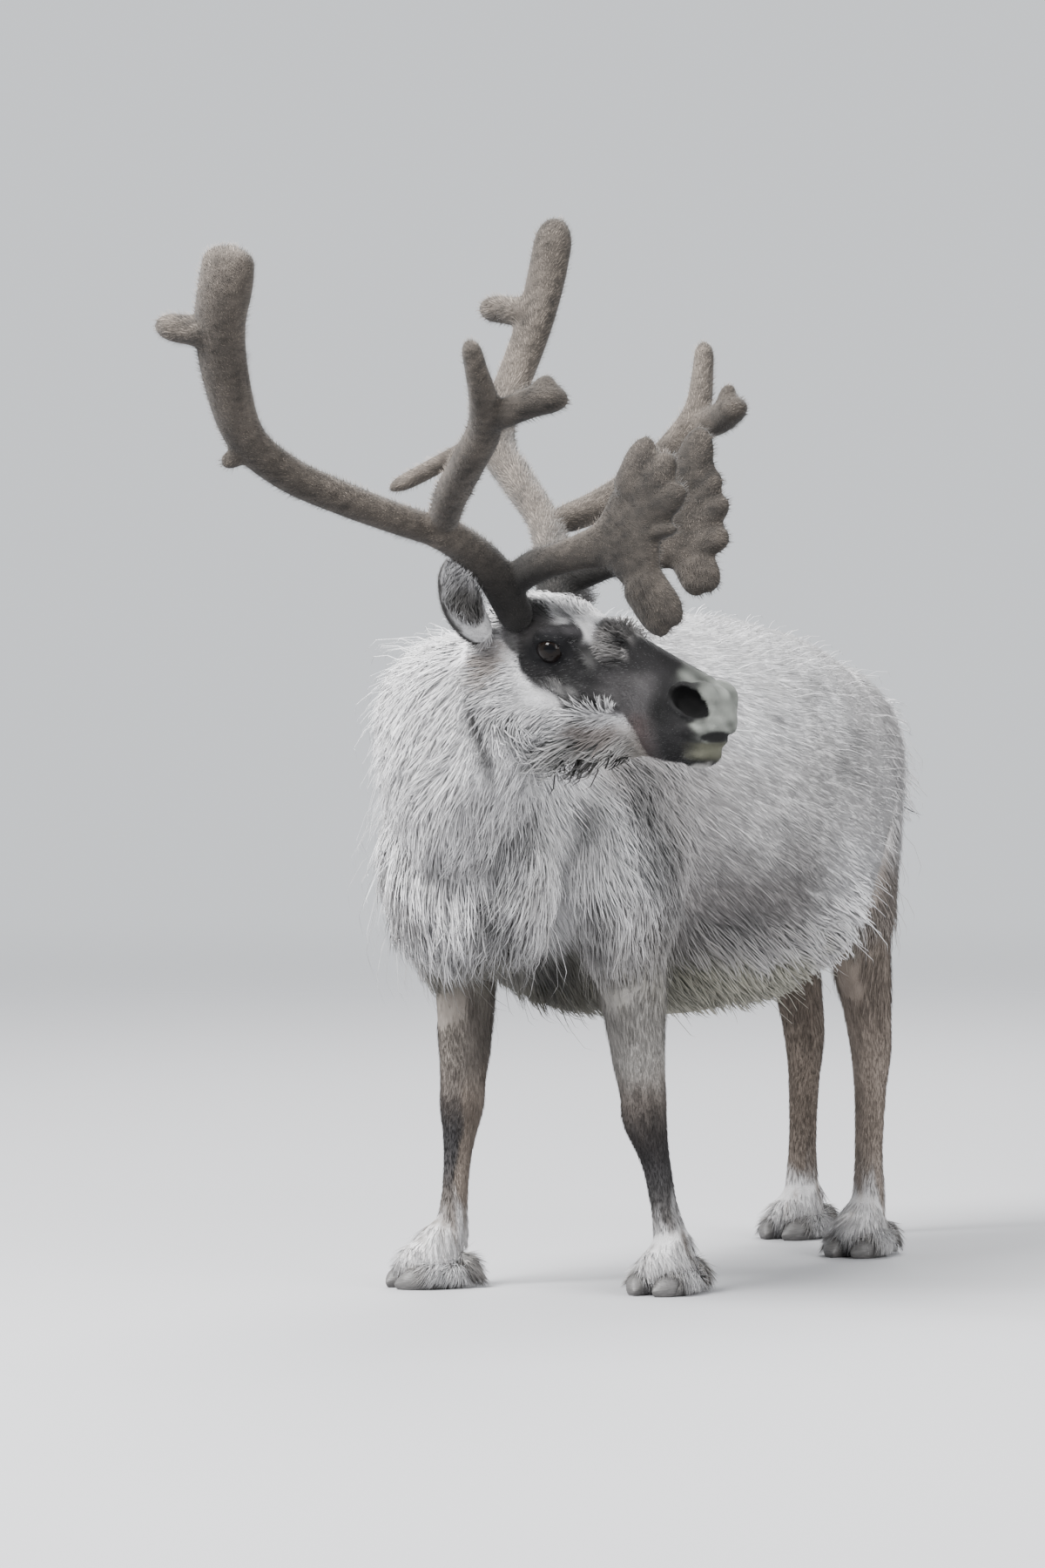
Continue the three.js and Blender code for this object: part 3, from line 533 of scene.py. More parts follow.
# %% Stations of the head
EYE_RADIUS = 19.0
EYE_SIDE = 49.0
SKULL = [
    [-122, 0, -34, 46, 46, 54],
    [-92, 0, -28, 58, 70, 84],
    [-50, 0, -24, 64, 84, 96],
    [0, 0, -24, 60, 78, 96],
    [42, 0, -32, 52, 68, 88],
    [84, 0, -46, 45, 60, 77],
    [124, 0, -64, 41, 58, 70],
    [158, 0, -80, 41, 58, 58],
    [184, 0, -84, 38, 54, 40],
    [203, 0, -82, 31, 41, 26],
    [214, 0, -81, 19, 27, 20],
]
NOSTRIL = [
    [155, 40, -49, 4, 7],
    [164, 36, -54, 7.5, 15],
    [176, 34, -61, 10, 18],
    [187, 31, -68, 9, 16],
    [194, 28, -75, 5, 9],
]
NOSTRIL_RIM = [
    [149, 39, -60, 4.0],
    [153, 39, -47, 4.5],
    [165, 36, -40, 4.5],
    [182, 37, -45, 4.5],
    [195, 34, -57, 4.5],
    [201, 28, -70, 4.0],
    [196, 30, -83, 4.0],
    [182, 37, -80, 3.5],
    [164, 41, -72, 3.5],
    [149, 39, -60, 4.0],
]
LIP_LINE = [
    [150, 39, -121, 1.2, 1.4],
    [162, 38, -118, 1.5, 1.8],
    [174, 36, -113, 2.0, 2.4],
    [186, 33, -108, 3.5, 4],
    [197, 26, -104, 6, 6.5],
    [205, 14, -103, 6, 6],
    [208, 0, -104, 5, 5],
]
MOUTH = LIP_LINE + [[f, -l, *rest] for f, l, *rest in LIP_LINE[-2::-1]]
TEAR_GROOVE = [
    [20, 61, 0, 1.5],
    [30, 56, -8, 2.6],
    [40, 54, -20, 3.0],
    [46, 52, -28, 1.5],
]
TEAR_RIDGE = [
    [24, 50, 6, 3.5],
    [36, 48, -3, 5.0],
    [47, 45, -17, 5.0],
    [54, 43, -30, 3.0],
]
HEAD = {"axes": HEAD_AXES, "origin": HEAD_AT}
HEAD_INSET = 3.0
skull_form = Form(SKULL, blunt=0.1, inset=HEAD_INSET, **HEAD)


def ball_angles(rings, sides):
    """For the rings between two poles: the angle from the pole and the angle round the axis."""
    return np.meshgrid(np.pi * np.arange(1, rings) / rings, TAU * np.arange(sides) / sides, indexing="ij")


def egg(centre, radii):
    """A ball with three radii: (sin p cos a, sin p sin a, cos p) scaled along the head's axes."""
    sides, rings = 24, 16
    polar, around = ball_angles(rings, sides)
    ball = np.stack([np.sin(polar) * np.cos(around), np.sin(polar) * np.sin(around), np.cos(polar)], -1)
    points = np.vstack([ball.reshape(-1, 3), [[0, 0, 1], [0, 0, -1]]]) * radii + centre
    quads, fans = tube_faces(rings - 1, sides)
    return from_head(points), quads[:, ::-1], fans[:, ::-1]


def lid(side, reach_up, reach_forward, thickness, above, lift=0.8):
    """A tube along half an almond on the eyeball: forward = a cos(q), up = b sin(q), outward on the ball."""
    q = np.linspace(-0.12, np.pi + 0.12, 9)
    forward = reach_forward * np.cos(q) - 1
    up = above * reach_up * np.sin(q) + 0.08 * forward
    out = EYE_SIDE + np.sqrt(np.maximum((EYE_RADIUS + lift) ** 2 - forward**2 - up**2, 25))
    size = thickness * (0.65 + 0.35 * np.sin(np.clip(q, 0, np.pi)))
    rows = [[f, side * o, u, s] for f, o, u, s in zip(forward, out, up, size)]
    return Form(rows, over=[0, side, 0], blunt=0.12, **HEAD).grid(28, 12)


def mirrored_rows(rows, side):
    """Rows of forward, outward, up and sizes, put on the left (1) or the right (-1)."""
    return [[f, side * out, *rest] for f, out, *rest in rows]


head_grids = [skull_form.grid(64, 48)]
for side in (1, -1):
    head_grids += [
        egg([4, side * 40, 15], [32, 19, 15]),
        egg([0, side * 41, -1], [29, 16, 23]),
        egg([183, side * 24, -58], [24, 16, 22]),
        egg([170, side * 24, -93], [32, 16, 12]),
        egg([30, side * 34, -62], [60, 20, 30]),
        lid(side, 11.5, 17.5, 4.2, 1),
        lid(side, 17.5, 21, 3.0, 1, -2.0),
        lid(side, 11.5, 17.5, 2.4, -1),
        lid(side, 17.0, 21, 2.2, -1, -3.0),
        Form(mirrored_rows(TEAR_RIDGE, side), blunt=0.2, **HEAD).grid(20, 14),
        Form(mirrored_rows(NOSTRIL_RIM, side), over=[0, side, 0], blunt=0.02, **HEAD).grid(50, 12),
    ]
head_grids += [egg([170, 0, -121], [26, 25, 17])]

# %% [markdown]
# An ear is a pointed shell round a hollow cup. The right ear stands up and back, and the left one is turned
# out to the side, so each has its own stations and the direction that its cup faces.

# %% Ears
EARS = {
    "right": {
        "shell": [
            [-80, -56, 12, 16, 14],
            [-92, -76, 30, 24, 16],
            [-98, -96, 58, 28, 15],
            [-102, -112, 84, 20, 10],
            [-102, -122, 106, 6, 4],
        ],
        "cup": [
            [-84, -82, 34, 10, 7],
            [-86, -104, 56, 22, 12],
            [-92, -120, 80, 16, 10],
            [-98, -128, 98, 4, 4],
        ],
        "facing": [0.75, -0.6, 0.2],
    },
    "left": {
        "shell": [
            [-80, 56, 12, 16, 14],
            [-82, 84, 26, 24, 16],
            [-74, 112, 42, 28, 15],
            [-64, 134, 56, 20, 10],
            [-54, 152, 66, 6, 4],
        ],
        "cup": [
            [-66, 88, 22, 10, 7],
            [-58, 112, 36, 22, 12],
            [-52, 132, 50, 16, 10],
            [-48, 146, 60, 4, 4],
        ],
        "facing": [0.85, 0.3, -0.25],
    },
}
EAR_INSET = 1.5
ear_forms, cup_forms = {}, {}
for word, ear in EARS.items():
    ear_forms[word] = Form(ear["shell"], over=ear["facing"], blunt=0.15, inset=EAR_INSET, **HEAD)
    cup_forms[word] = Form(ear["cup"], over=ear["facing"], blunt=0.25, **HEAD)
    head_grids.append(ear_forms[word].grid(40, 28))

nostril_forms = [Form(mirrored_rows(NOSTRIL, side), blunt=0.3, **HEAD) for side in (1, -1)]
groove_forms = [Form(mirrored_rows(TEAR_GROOVE, side), blunt=0.2, **HEAD) for side in (1, -1)]
mouth_form = Form(MOUTH, blunt=0.05, **HEAD)
head_cuts = [form.grid(24, 16) for form in nostril_forms + groove_forms] + [mouth_form.grid(60, 10)]
head_cuts += [form.grid(30, 24) for form in cup_forms.values()]
head = weld("head", head_grids, 2.7, 3, head_cuts, 2.6)

# %% [markdown]
# ## Markings
# Every marking is a formula of place: a soft band along the lower flank, a dark stripe down the front of
# each foreleg, a charcoal mask over the face. Some formulas paint shade instead: under the chest and belly,
# in the fold behind the cheek, on the right hind leg, deep in the nostrils and in the cups of the ears. The
# same formulas paint the skin and the tufts, so no seam shows where the coat is thin.

# %% Palette, as linear red, green and blue
WHITE = [0.86, 0.85, 0.855]
CREAM_IN_SHADE = [0.36, 0.345, 0.28]
PALE_GREY = [0.64, 0.625, 0.62]
FLANK_GREY = [0.42, 0.40, 0.395]
BAND_GREY = [0.20, 0.185, 0.18]
TAN = [0.215, 0.178, 0.150]
BROWN = [0.080, 0.063, 0.051]
CHARCOAL = [0.040, 0.038, 0.039]
MASK = [0.016, 0.0155, 0.016]
MUZZLE = [0.21, 0.22, 0.20]
NAKED = [0.02, 0.02, 0.02]
GRIZZLE = [0.25, 0.24, 0.235]
ARM_GREY = [0.30, 0.285, 0.27]
UNDERSIDE_SHADE = [0.085, 0.08, 0.06]
CREASE_SHADE = [0.03, 0.029, 0.028]
MARK_TINT = [1.0, 0.985, 0.975]
FOREARM_LEFT = [0.30, 0.285, 0.265]
FOREARM_RIGHT = [0.17, 0.15, 0.132]
SHIN_GREY = [0.17, 0.165, 0.16]
GASKIN_DARK = [0.05, 0.04, 0.034]
HOCK_TAN = [0.26, 0.225, 0.20]
RUFF = [0.56, 0.55, 0.50]
CHEEK_BROWN = [0.36, 0.305, 0.27]
EAR_ROOT_BROWN = [0.19, 0.16, 0.14]
THROAT_BROWN = [0.15, 0.125, 0.105]
MASK_GREY = [0.055, 0.052, 0.053]
MASK_BROWN = [0.055, 0.043, 0.042]
MASK_BLACK = [0.008, 0.008, 0.008]
BROW_DARK = [0.04, 0.038, 0.04]
UNDER_EYE = [0.14, 0.137, 0.135]
PEDICLE_DARK = [0.03, 0.028, 0.028]
TUFT_GREY = [0.23, 0.22, 0.215]
FAR_BROW = [0.04, 0.04, 0.04]
EYE_RIM = [0.010, 0.010, 0.011]
GROOVE_DARK = [0.012, 0.012, 0.012]
RIDGE_GREY = [0.10, 0.098, 0.096]
CHIN = [0.12, 0.12, 0.09]
NOSTRIL_SHADE = [0.006, 0.006, 0.006]
EAR_BACK = [0.14, 0.135, 0.13]
EAR_HOLLOW_SHADE = [0.08, 0.075, 0.07]

# %% Markings of the body
# Each row is a soft spot: x, y, z, how far it reaches across and up, its grey and its strength.
MARKS = [
    [121, -48, 592, 34, 46, 0.12, 0.75],
    [169, -5, 606, 44, 74, 0.22, 0.8],
    [189, 0, 546, 44, 62, 0.16, 0.8],
    [185, 50, 494, 54, 52, 0.16, 0.8],
    [128, -48, 534, 62, 54, 1.0, 1.0],
    [104, -112, 548, 44, 60, 0.95, 0.8],
    [176, -44, 476, 50, 66, 1.0, 0.9],
    [136, -30, 476, 38, 20, 0.09, 0.8],
    [119, -22, 432, 34, 32, 0.10, 0.7],
    [110, -116, 482, 38, 32, 0.06, 0.85],
    [91, -150, 596, 44, 50, 0.14, 0.7],
    [86, -178, 520, 40, 56, 0.03, 0.95],
    [56, -155, 490, 40, 48, 0.05, 0.9],
    [88, -137, 440, 58, 50, 0.015, 1.0],
    [60, -183, 556, 40, 50, 0.20, 0.5],
    [5, -202, 544, 40, 60, 0.26, 0.5],
    [30, -179, 446, 42, 36, 0.16, 0.7],
    [-3, -163, 462, 42, 40, 0.30, 0.5],
    # Painted shade: a near-black spot under the barrel between the forelegs.
    [21, 7, 399, 70, 56, 0.02, 0.9],
    [171, 195, 452, 130, 36, 0.11, 0.6],
    [171, 318, 734, 66, 26, 0.88, 0.8],
    [182, 292, 704, 22, 12, 0.03, 0.9],
    [188, 322, 696, 24, 12, 0.03, 0.8],
    [186, 466, 682, 54, 40, 0.22, 0.65],
    [204, 420, 636, 48, 42, 0.24, 0.6],
    [160, 436, 738, 50, 28, 0.26, 0.6],
]
CREASE = np.array([[119.0, -310.0, 735.0], [134.0, -272.0, 620.0]])


def plain(colour, points):
    """One colour at every point."""
    return np.tile(colour, (len(points), 1))


def from_crease(points):
    """Distance from the fold between the cheek's ruff and the neck, a straight line between two ends."""
    run = CREASE[1] - CREASE[0]
    share = np.clip((points - CREASE[0]) @ run / (run @ run), 0, 1)
    return np.linalg.norm(points - CREASE[0] - share[:, None] * run, axis=1)


def body_colour(points, normals):
    """White above and in front, grey flank, dark band under it, cream belly, white fringes, spots.

    Painted shade: the belly's cream is darkened, surfaces that face down under the chest and belly are
    darker, and a dark line lies in the fold behind the cheek.
    """
    x, y, z = points.T
    patch = wander(points * [1, 1, 0.6], 90, 5, 1)[:, 0]
    fine = wander(points * [1, 0.5, 0.5], 26, 6, 1)[:, 0]
    streak = wander(points * [1, 0.16, 1], 9, 11, 1)[:, 0]
    level = z + 14 * patch + 10 * fine
    colour = plain(WHITE, points)
    flank_tone = mix(FLANK_GREY, PALE_GREY, ramp(y + 30 * patch, 20, 300))
    shoulder_edge = 0.5 * (560 - z) + 12 * fine
    flank = ramp(y - shoulder_edge, -30, 20) * (1 - ramp(level, 640, 725)) * (1 - 0.35 * ramp(y, 420, 560))
    colour = mix(colour, flank_tone, flank)
    rump = ramp(y + 20 * patch, 440, 560) * (1 - 0.45 * ramp(level, 700, 780))
    colour = mix(colour, mix(PALE_GREY, FLANK_GREY, np.clip(0.45 + 0.3 * patch, 0, 1)), 0.8 * rump)
    band_height = 448 + 0.10 * np.clip(y, 0, 400)
    band = hump(level, band_height, 115) * ramp(y + 12 * fine, -20, 40) * (1 - ramp(y, 300, 430))
    colour = mix(colour, BAND_GREY, 0.85 * band)
    # The cream belly, made darker as painted shade low on the barrel.
    belly = (1 - ramp(level, 385, 425)) * ramp(y, -60, 20)
    colour = mix(colour, CREAM_IN_SHADE, belly)
    stifle = hump(y, 450, 110) * hump(level, 500, 110)
    colour = mix(colour, WHITE, 0.9 * np.clip(1.3 * stifle, 0, 1))
    fringe = ramp(y, 800, 880)
    colour = mix(colour, WHITE, 0.8 * fringe)
    chest = hump(level, 520, 190) * (1 - ramp(y, -40, 80))
    grizzle = ramp(fine + 0.6 * streak + 0.5 * patch, 0.0, 1.6)
    colour = mix(colour, GRIZZLE, 0.85 * grizzle * chest)
    arm = hump(z, 430, 110) * (1 - ramp(y, 60, 130)) * ramp(np.abs(x), 60, 110)
    colour = mix(colour, ARM_GREY, 0.75 * arm)
    thigh = ramp(-level, -560, -470) * ramp(y + 20 * fine, 560, 630)
    colour = mix(colour, TAN, 0.9 * thigh)
    colour = mix(colour, BROWN, 0.8 * thigh * ramp(normals[:, 1] + 0.2 * patch, -0.1, 0.6))
    # Painted shade: surfaces that face down under the chest and the front of the belly are darker.
    under = ramp(-normals[:, 2], 0.35, 0.85) * (1 - ramp(y, 120, 260)) * (1 - ramp(z, 440, 520))
    colour = mix(colour, UNDERSIDE_SHADE, 0.9 * under)
    for *middle, across, up, grey, strength in MARKS:
        out = np.linalg.norm((points - middle) / [across, across, up], axis=1) + 0.12 * fine
        colour = mix(colour, np.array(MARK_TINT) * grey, strength * (1 - ramp(out, 0.1, 1.0)))
    # Painted shade in the fold between the cheek's ruff and the neck.
    colour = mix(colour, CREASE_SHADE, 0.95 * (1 - ramp(from_crease(points) + 2 * fine, 6, 19)))
    return colour * (1 + 0.07 * patch + 0.05 * fine + 0.06 * streak)[:, None]


def leg_colour(points, normals):
    """Grey forearm, charcoal front from the knee down, tan behind, brown hind legs, white feet.

    The right hind leg is made browner and darker than the left, a painted shade.
    """
    x, y, z = points.T
    patch = wander(points, 40, 7, 1)[:, 0]
    fine = wander(points * [1, 1, 0.35], 9, 12, 1)[:, 0]
    level = z + 9 * patch + 5 * fine
    outward = np.sign(x + 10)
    fore = y < 400
    left = x > 0
    turned = 0.6 * outward * normals[:, 0] - 0.8 * normals[:, 1] + 0.12 * fine
    front = ramp(turned + 0.45 * left, 0.0, 0.35)
    forearm = mix(np.where(left[:, None], FOREARM_LEFT, FOREARM_RIGHT), TAN, ramp(-level, -300, -220))
    stripe = hump(level, np.where(left, 150, 172), 124) ** np.where(left, 0.35, 0.55)
    foreleg = mix(forearm, CHARCOAL, front * stripe)
    shin = hump(level, np.where(left, 108, 78), np.where(left, 70, 50)) * (1 - 0.4 * front)
    foreleg = mix(foreleg, SHIN_GREY, 0.5 * shin)
    back_of_leg = ramp(normals[:, 1], 0.1, 0.8)
    rear_shade = np.clip(0.8 * back_of_leg * ramp(level, 230, 300) + 0.1 * patch, 0, 1)
    gaskin = mix(np.array(TAN) * 1.25, GASKIN_DARK, rear_shade)
    hind = mix(gaskin, HOCK_TAN, 0.6 * ramp(-level, -170, -90))
    # Painted shade: the right hind leg is made browner and darker than the left.
    hind = mix(hind, BROWN, 0.55 * (x < 0))
    colour = np.where(fore[:, None], foreleg, hind)
    foot = ramp(-z - 16 * patch - 22 * fine, -112, -40)
    return mix(colour, WHITE, 0.8 * foot) * (1 + 0.10 * patch + 0.12 * fine)[:, None]


def coat_colour(points, normals):
    """The leg's colour below, the body's above, and a share of both where a leg leaves the trunk."""
    out = radii_out(points, leg_forms.values())
    level = points[:, 2] + 16 * wander(points * [1, 1, 0.5], 16, 13, 1)[:, 0]
    share = (1 - ramp(out, 1.15, 1.6)) * (1 - ramp(level, 345, 440))
    return mix(body_colour(points, normals), leg_colour(points, normals), share)


# %% Markings of the head
# Forward and up of the mask's lower edge.
MASK_EDGE = np.array(
    [
        [-60, 4], [-44, -12], [-34, -31], [-10, -52], [12, -66],
        [46, -73], [74, -70], [88, -76], [100, -100], [112, -140],
    ]
)


def bridge_tuft(f, side, u):
    """How much a place belongs to the grey tuft on the bridge of the nose."""
    return hump(f, 73, 25) * (1 - ramp(side, 36, 46)) * ramp(u, -24, -8)


def head_colour(points, _):
    """Charcoal mask round the eyes and down the nose, white blaze, pale muzzle and cheeks, painted shade deep
    in the nostrils.
    """
    f, l, u = to_head(points).T
    side = np.abs(l)
    patch = wander(points, 22, 8, 1)[:, 0]
    fine = wander(points, 7, 10, 1)[:, 0]
    edge = 3 * patch + 1.5 * fine
    colour = plain(WHITE, points) * (0.84 + 0.08 * patch + 0.05 * fine)[:, None]
    ruff = ramp(-u + 2 * patch, 84, 128) * ramp(f, -70, 20)
    colour = mix(colour, RUFF, 0.7 * ruff)
    cheek_brown = hump(f, 55, 45) * hump(u, -97, 18)
    colour = mix(colour, CHEEK_BROWN, np.clip(1.3 * cheek_brown, 0, 0.75))
    ear_brown = hump(f, -74, 34) * hump(u, -16, 42)
    colour = mix(colour, EAR_ROOT_BROWN, np.clip(1.2 * ear_brown * (0.8 + 0.4 * fine), 0, 0.85))
    throat = hump(f, 104, 34) * ramp(-u, 74, 96)
    colour = mix(colour, THROAT_BROWN, 0.8 * throat)
    lower = np.interp(f, *MASK_EDGE.T)
    mask = ramp(u - lower + 1.6 * edge, -5, 7) * ramp(f + edge, -52, -40) * (1 - ramp(u + edge, 42, 56))
    tone = plain(MASK, points)
    tone = mix(tone, MASK_GREY, ramp(f, 45, 85) * ramp(-u, 18, 40) * (1 - ramp(f, 112, 140)))
    tone = mix(tone, MASK_BROWN, hump(f, 105, 30) * ramp(-u, 66, 88))
    tone = mix(tone, MASK_BLACK, hump(f, 136, 26) * hump(u, -72, 30))
    tone = mix(tone, BROW_DARK, hump(u, 20, 10) * ramp(side, 34, 44))
    under_eye = hump(f, 8, 40) * ramp(-u, 26, 50)
    tone = mix(tone, UNDER_EYE, np.clip(under_eye * (0.6 + 0.6 * fine), 0, 1))
    colour = mix(colour, tone, mask)
    blaze = (1 - ramp(side + 2 * edge, 30, 46)) * ramp(u, 0, 16) * (1 - ramp(f + 2 * edge, 42, 62))
    colour = mix(colour, WHITE, blaze * np.clip(0.85 + 0.12 * patch + 0.14 * fine, 0, 1))
    from_pedicle = np.linalg.norm(np.stack([f + 40, side - 48, u - 34], -1), axis=1)
    colour = mix(colour, PEDICLE_DARK, 0.9 * (1 - ramp(from_pedicle + 2 * edge, 26, 44)))
    tuft = 1.4 * bridge_tuft(f, side, u) * (1 + 0.5 * fine + 0.4 * patch)
    colour = mix(colour, TUFT_GREY, 0.85 * np.clip(tuft, 0, 1))
    far_brow = hump(f, 54, 16) * hump(side, 22, 16) * ramp(u, 14, 24)
    colour = mix(colour, FAR_BROW, 0.9 * far_brow)
    around_eye = 1 - ramp(np.hypot(0.9 * (f - 1), 1.15 * u) + edge, 20, 33)
    colour = mix(colour, EYE_RIM, around_eye * ramp(side, 30, 40))
    groove = radii_out(points, groove_forms)
    colour = mix(colour, GROOVE_DARK, 1 - ramp(groove, 1.3, 2.4))
    ridge = hump(f, 47, 14) * hump(u, -14, 20) * ramp(side, 38, 44) * ramp(groove, 1.8, 3.0)
    colour = mix(colour, RIDGE_GREY, 0.8 * ridge)
    front = f + 0.35 * (u + 60) + edge
    pale = ramp(front + 2 * edge, 168, 192) * ramp(side + 0.6 * (f - 150) + edge, 0, 26)
    lip = ramp(f + edge, 168, 186) * hump(u, -92, 22)
    bridge = (1 - ramp(side + edge, 24, 40)) * ramp(f + 2 * edge, 146, 180) * ramp(u, -62, -46)
    muzzle = plain(MUZZLE, points) * (1 + 0.16 * patch + 0.14 * fine)[:, None]
    colour = mix(colour, muzzle, np.maximum(pale, 0.9 * np.maximum(lip, bridge)))
    chin = ramp(f + 2 * edge, 160, 190) * ramp(-u, 106, 112) * (1 - ramp(-u, 124, 134))
    colour = mix(colour, CHIN, chin)
    nose = radii_out(points, nostril_forms)
    colour = mix(colour, NAKED, (1 - ramp(nose, 1.15, 1.7)) * (1 - ramp(f, 182, 200)))
    # Deep in the nostril the dark bare skin is made darker still: a painted shade of the hole.
    colour = mix(colour, NOSTRIL_SHADE, 1 - ramp(nose, 0.98, 1.3))
    gape = mouth_form.nearest(points)[2]
    return mix(colour, NAKED, 1 - ramp(gape, 1.05, 1.6)) * (1 + 0.08 * patch + 0.08 * fine)[:, None]


def ear_colour(points):
    """White inside, darker at the rim and on the back, and painted shade deep in the cup."""
    facing = np.zeros(len(points))
    for form in ear_forms.values():
        _, angle, out, _ = form.nearest(points)
        facing = np.where(out < 1.6, np.sin(angle), facing)
    patch = wander(points, 14, 9, 1)[:, 0]
    inner = ramp(facing + 0.15 * patch, 0.25, 0.6)
    colour = mix(plain(EAR_BACK, points), np.array(WHITE) * 0.75, inner)
    rim = hump(facing, 0.1, 0.35)
    colour = mix(colour, CHARCOAL, 0.85 * rim)
    # Painted shade deep in the cup of the ear, low down near its root.
    up = to_head(points)[:, 2]
    hollow = (1 - ramp(radii_out(points, cup_forms.values()), 1.1, 1.3)) * (1 - ramp(up, 44, 84))
    return mix(colour, EAR_HOLLOW_SHADE, 0.9 * hollow)


# %% [markdown]
# ## How the coat lies
# Hair runs back along the barrel, down the shoulder and haunch, from the head towards the chest on the
# neck and straight down the legs. Each form states its own lie, length and stand, and a point that lies
# between two forms takes a share of both, so the coat turns smoothly from one to the next.

# %% Coat of each form: share of its own direction, extra lean, length, stand, width, unruliness
COAT = {
    "barrel": (1.0, [0, 0, -0.35], 30, 0.11, 2.8, 0.4),
    "shoulder_left": (0.3, [0, 0.45, -0.8], 37, 0.20, 2.4, 0.9),
    "shoulder_right": (0.3, [0, 0.45, -0.8], 37, 0.20, 2.4, 0.9),
    "haunch_left": (0.3, [0, 0.45, -0.8], 30, 0.14, 2.8, 0.5),
    "haunch_right": (0.3, [0, 0.45, -0.8], 30, 0.14, 2.8, 0.5),
    "neck": (-0.9, [0, 0, -0.8], 40, 0.18, 2.3, 0.85),
    "brisket": (0.3, [0, -0.1, -1.0], 54, 0.22, 2.5, 1.0),
    "tail": (0.6, [0, 0.1, -1.0], 50, 0.26, 3.2, 1.0),
    "leg": (1.0, [0, 0, -0.2], 13, 0.13, 1.7, 0.5),
    "foot": (0.6, [0, 0, -0.6], 26, 0.20, 2.2, 0.9),
    "skull": (-1.0, [0, 0, -0.15], 9, 0.20, 1.3, 0.4),
    "ear_right": (1.0, [0, 0, 0.1], 8, 0.25, 1.2, 0.8),
    "ear_left": (1.0, [0, 0, 0.1], 8, 0.25, 1.2, 0.8),
}
SHARE_FALL = 0.07


def coat_of(name):
    """The row of COAT that a form's name asks for."""
    if name in COAT:
        return COAT[name]
    return COAT["foot" if name.endswith("_foot") else "leg"]


def fields_over(points, forms):
    """Lie, length, stand, width, unruliness, nearest form and its t and angle at each point.

    A form's share is exp(-|r - 1| / SHARE_FALL), where r is how many of its radii out the point lies.
    """
    found = [form.nearest(points) for form in forms.values()]
    radii = np.stack([row[2] for row in found])
    share = np.exp(-np.abs(radii - 1) / SHARE_FALL) + 1e-9
    share /= share.sum(0)
    coats = [coat_of(name) for name in forms]
    lie = sum(s[:, None] * (c[0] * row[3] + np.array(c[1])) for s, c, row in zip(share, coats, found))
    length, stand, width, unruly = (sum(s * c[k] for s, c in zip(share, coats)) for k in (2, 3, 4, 5))
    best = share.argmax(0)
    t, angle = (np.choose(best, [row[k] for row in found]) for k in (0, 1))
    return {
        "lie": lie, "length": length, "stand": stand, "width": width, "unruly": unruly,
        "form": best, "t": t, "angle": angle,
    }


# %% [markdown]
# A welded skin carries a value of each of these fields at every point, beside its colour and a mark of
# where no hair grows: inside another part, in a nostril, on the eye and on the lips.

# %% Skins with their fields
class Skin:
    """Points, faces, normals, fields and colour of one welded skin; bare is 1 where no hair grows."""

    def __init__(self, arrays, forms, paint):
        """paint gives the colour from points and normals."""
        self.points, self.quads, self.loose = arrays
        self.triangles = split_quads(self.quads, self.loose)
        self.normals = normals_of(self.points, self.triangles)
        self.fields = fields_over(self.points, forms)
        self.colour = np.clip(paint(self.points, self.normals), 0, 1)
        self.bare = np.zeros(len(self.points))


def eased(skin, values, rounds):
    """A field that moves halfway to the mean of its neighbours on the skin, once for each round."""
    corners = skin.triangles[:, [0, 1, 1, 2, 2, 0]].reshape(-1, 2)
    here, there = np.concatenate([corners, corners[:, ::-1]]).T
    size = len(skin.points)
    around = np.bincount(here, minlength=size)[:, None]
    values = values.reshape(size, -1)
    for _ in range(rounds):
        total = np.stack([np.bincount(here, column[there], size) for column in values.T], -1)
        values = (values + total / np.maximum(around, 1)) / 2
    return values.squeeze()


trunk_skin = Skin(trunk, body_forms, coat_colour)
leg_skin = Skin(legs, leg_forms, coat_colour)
head_forms = {"skull": skull_form, "ear_right": ear_forms["right"], "ear_left": ear_forms["left"]}
FIRST_EAR = 1
head_skin = Skin(head, head_forms, head_colour)
print("points of the skins:", *[len(skin.points) for skin in (trunk_skin, leg_skin, head_skin)])

# %% [markdown]
# The coat is longest on the chest, the belly and the rump, and nearly bare in the fold behind the cheek.
# Where a leg leaves the trunk its short hair takes over. The fields are eased over the skin afterwards, so
# that no step in length or lie shows.

# %% Length and lie of the trunk's hair
INSIDE_HEAD = 0.86
INSIDE_TRUNK = 0.86
INSIDE_NECK = 0.93
TRUNK_END = 345
SOLE_EDGE = 3
_, y, z = trunk_skin.points.T
sink = trunk_skin.normals[:, 2]
fields = trunk_skin.fields
belly = ramp(-sink, -0.05, 0.6) * (1 - ramp(z, 430, 500)) * ramp(y, -40, 60)
fields["length"] = fields["length"] + 16 * belly + 8 * hump(z, 430, 80) * ramp(y, 60, 120)
fields["length"] += 14 * ramp(y, 740, 860) + 18 * hump(y, 470, 110) * hump(z, 490, 110)
fields["length"] -= 5 * ramp(z, 720, 800) * ramp(y, 0, 60)
fields["stand"] += 0.12 * ramp(y, 740, 860) + 0.08 * belly + 0.06 * ramp(z, 700, 780) * ramp(y, 60, 200)
fields["lie"] += 0.5 * ramp(y, 600, 800)[:, None] * np.array([0, 0.3, -0.6])
out_of_leg = radii_out(trunk_skin.points, leg_forms.values())
near_leg = (1 - ramp(out_of_leg, 1.2, 2.3)) * (1 - ramp(z, 420, 480))
for key, close in (("length", 26), ("stand", 0.14), ("unruly", 0.75), ("width", 2.0)):
    fields[key] = fields[key] * (1 - near_leg) + close * near_leg
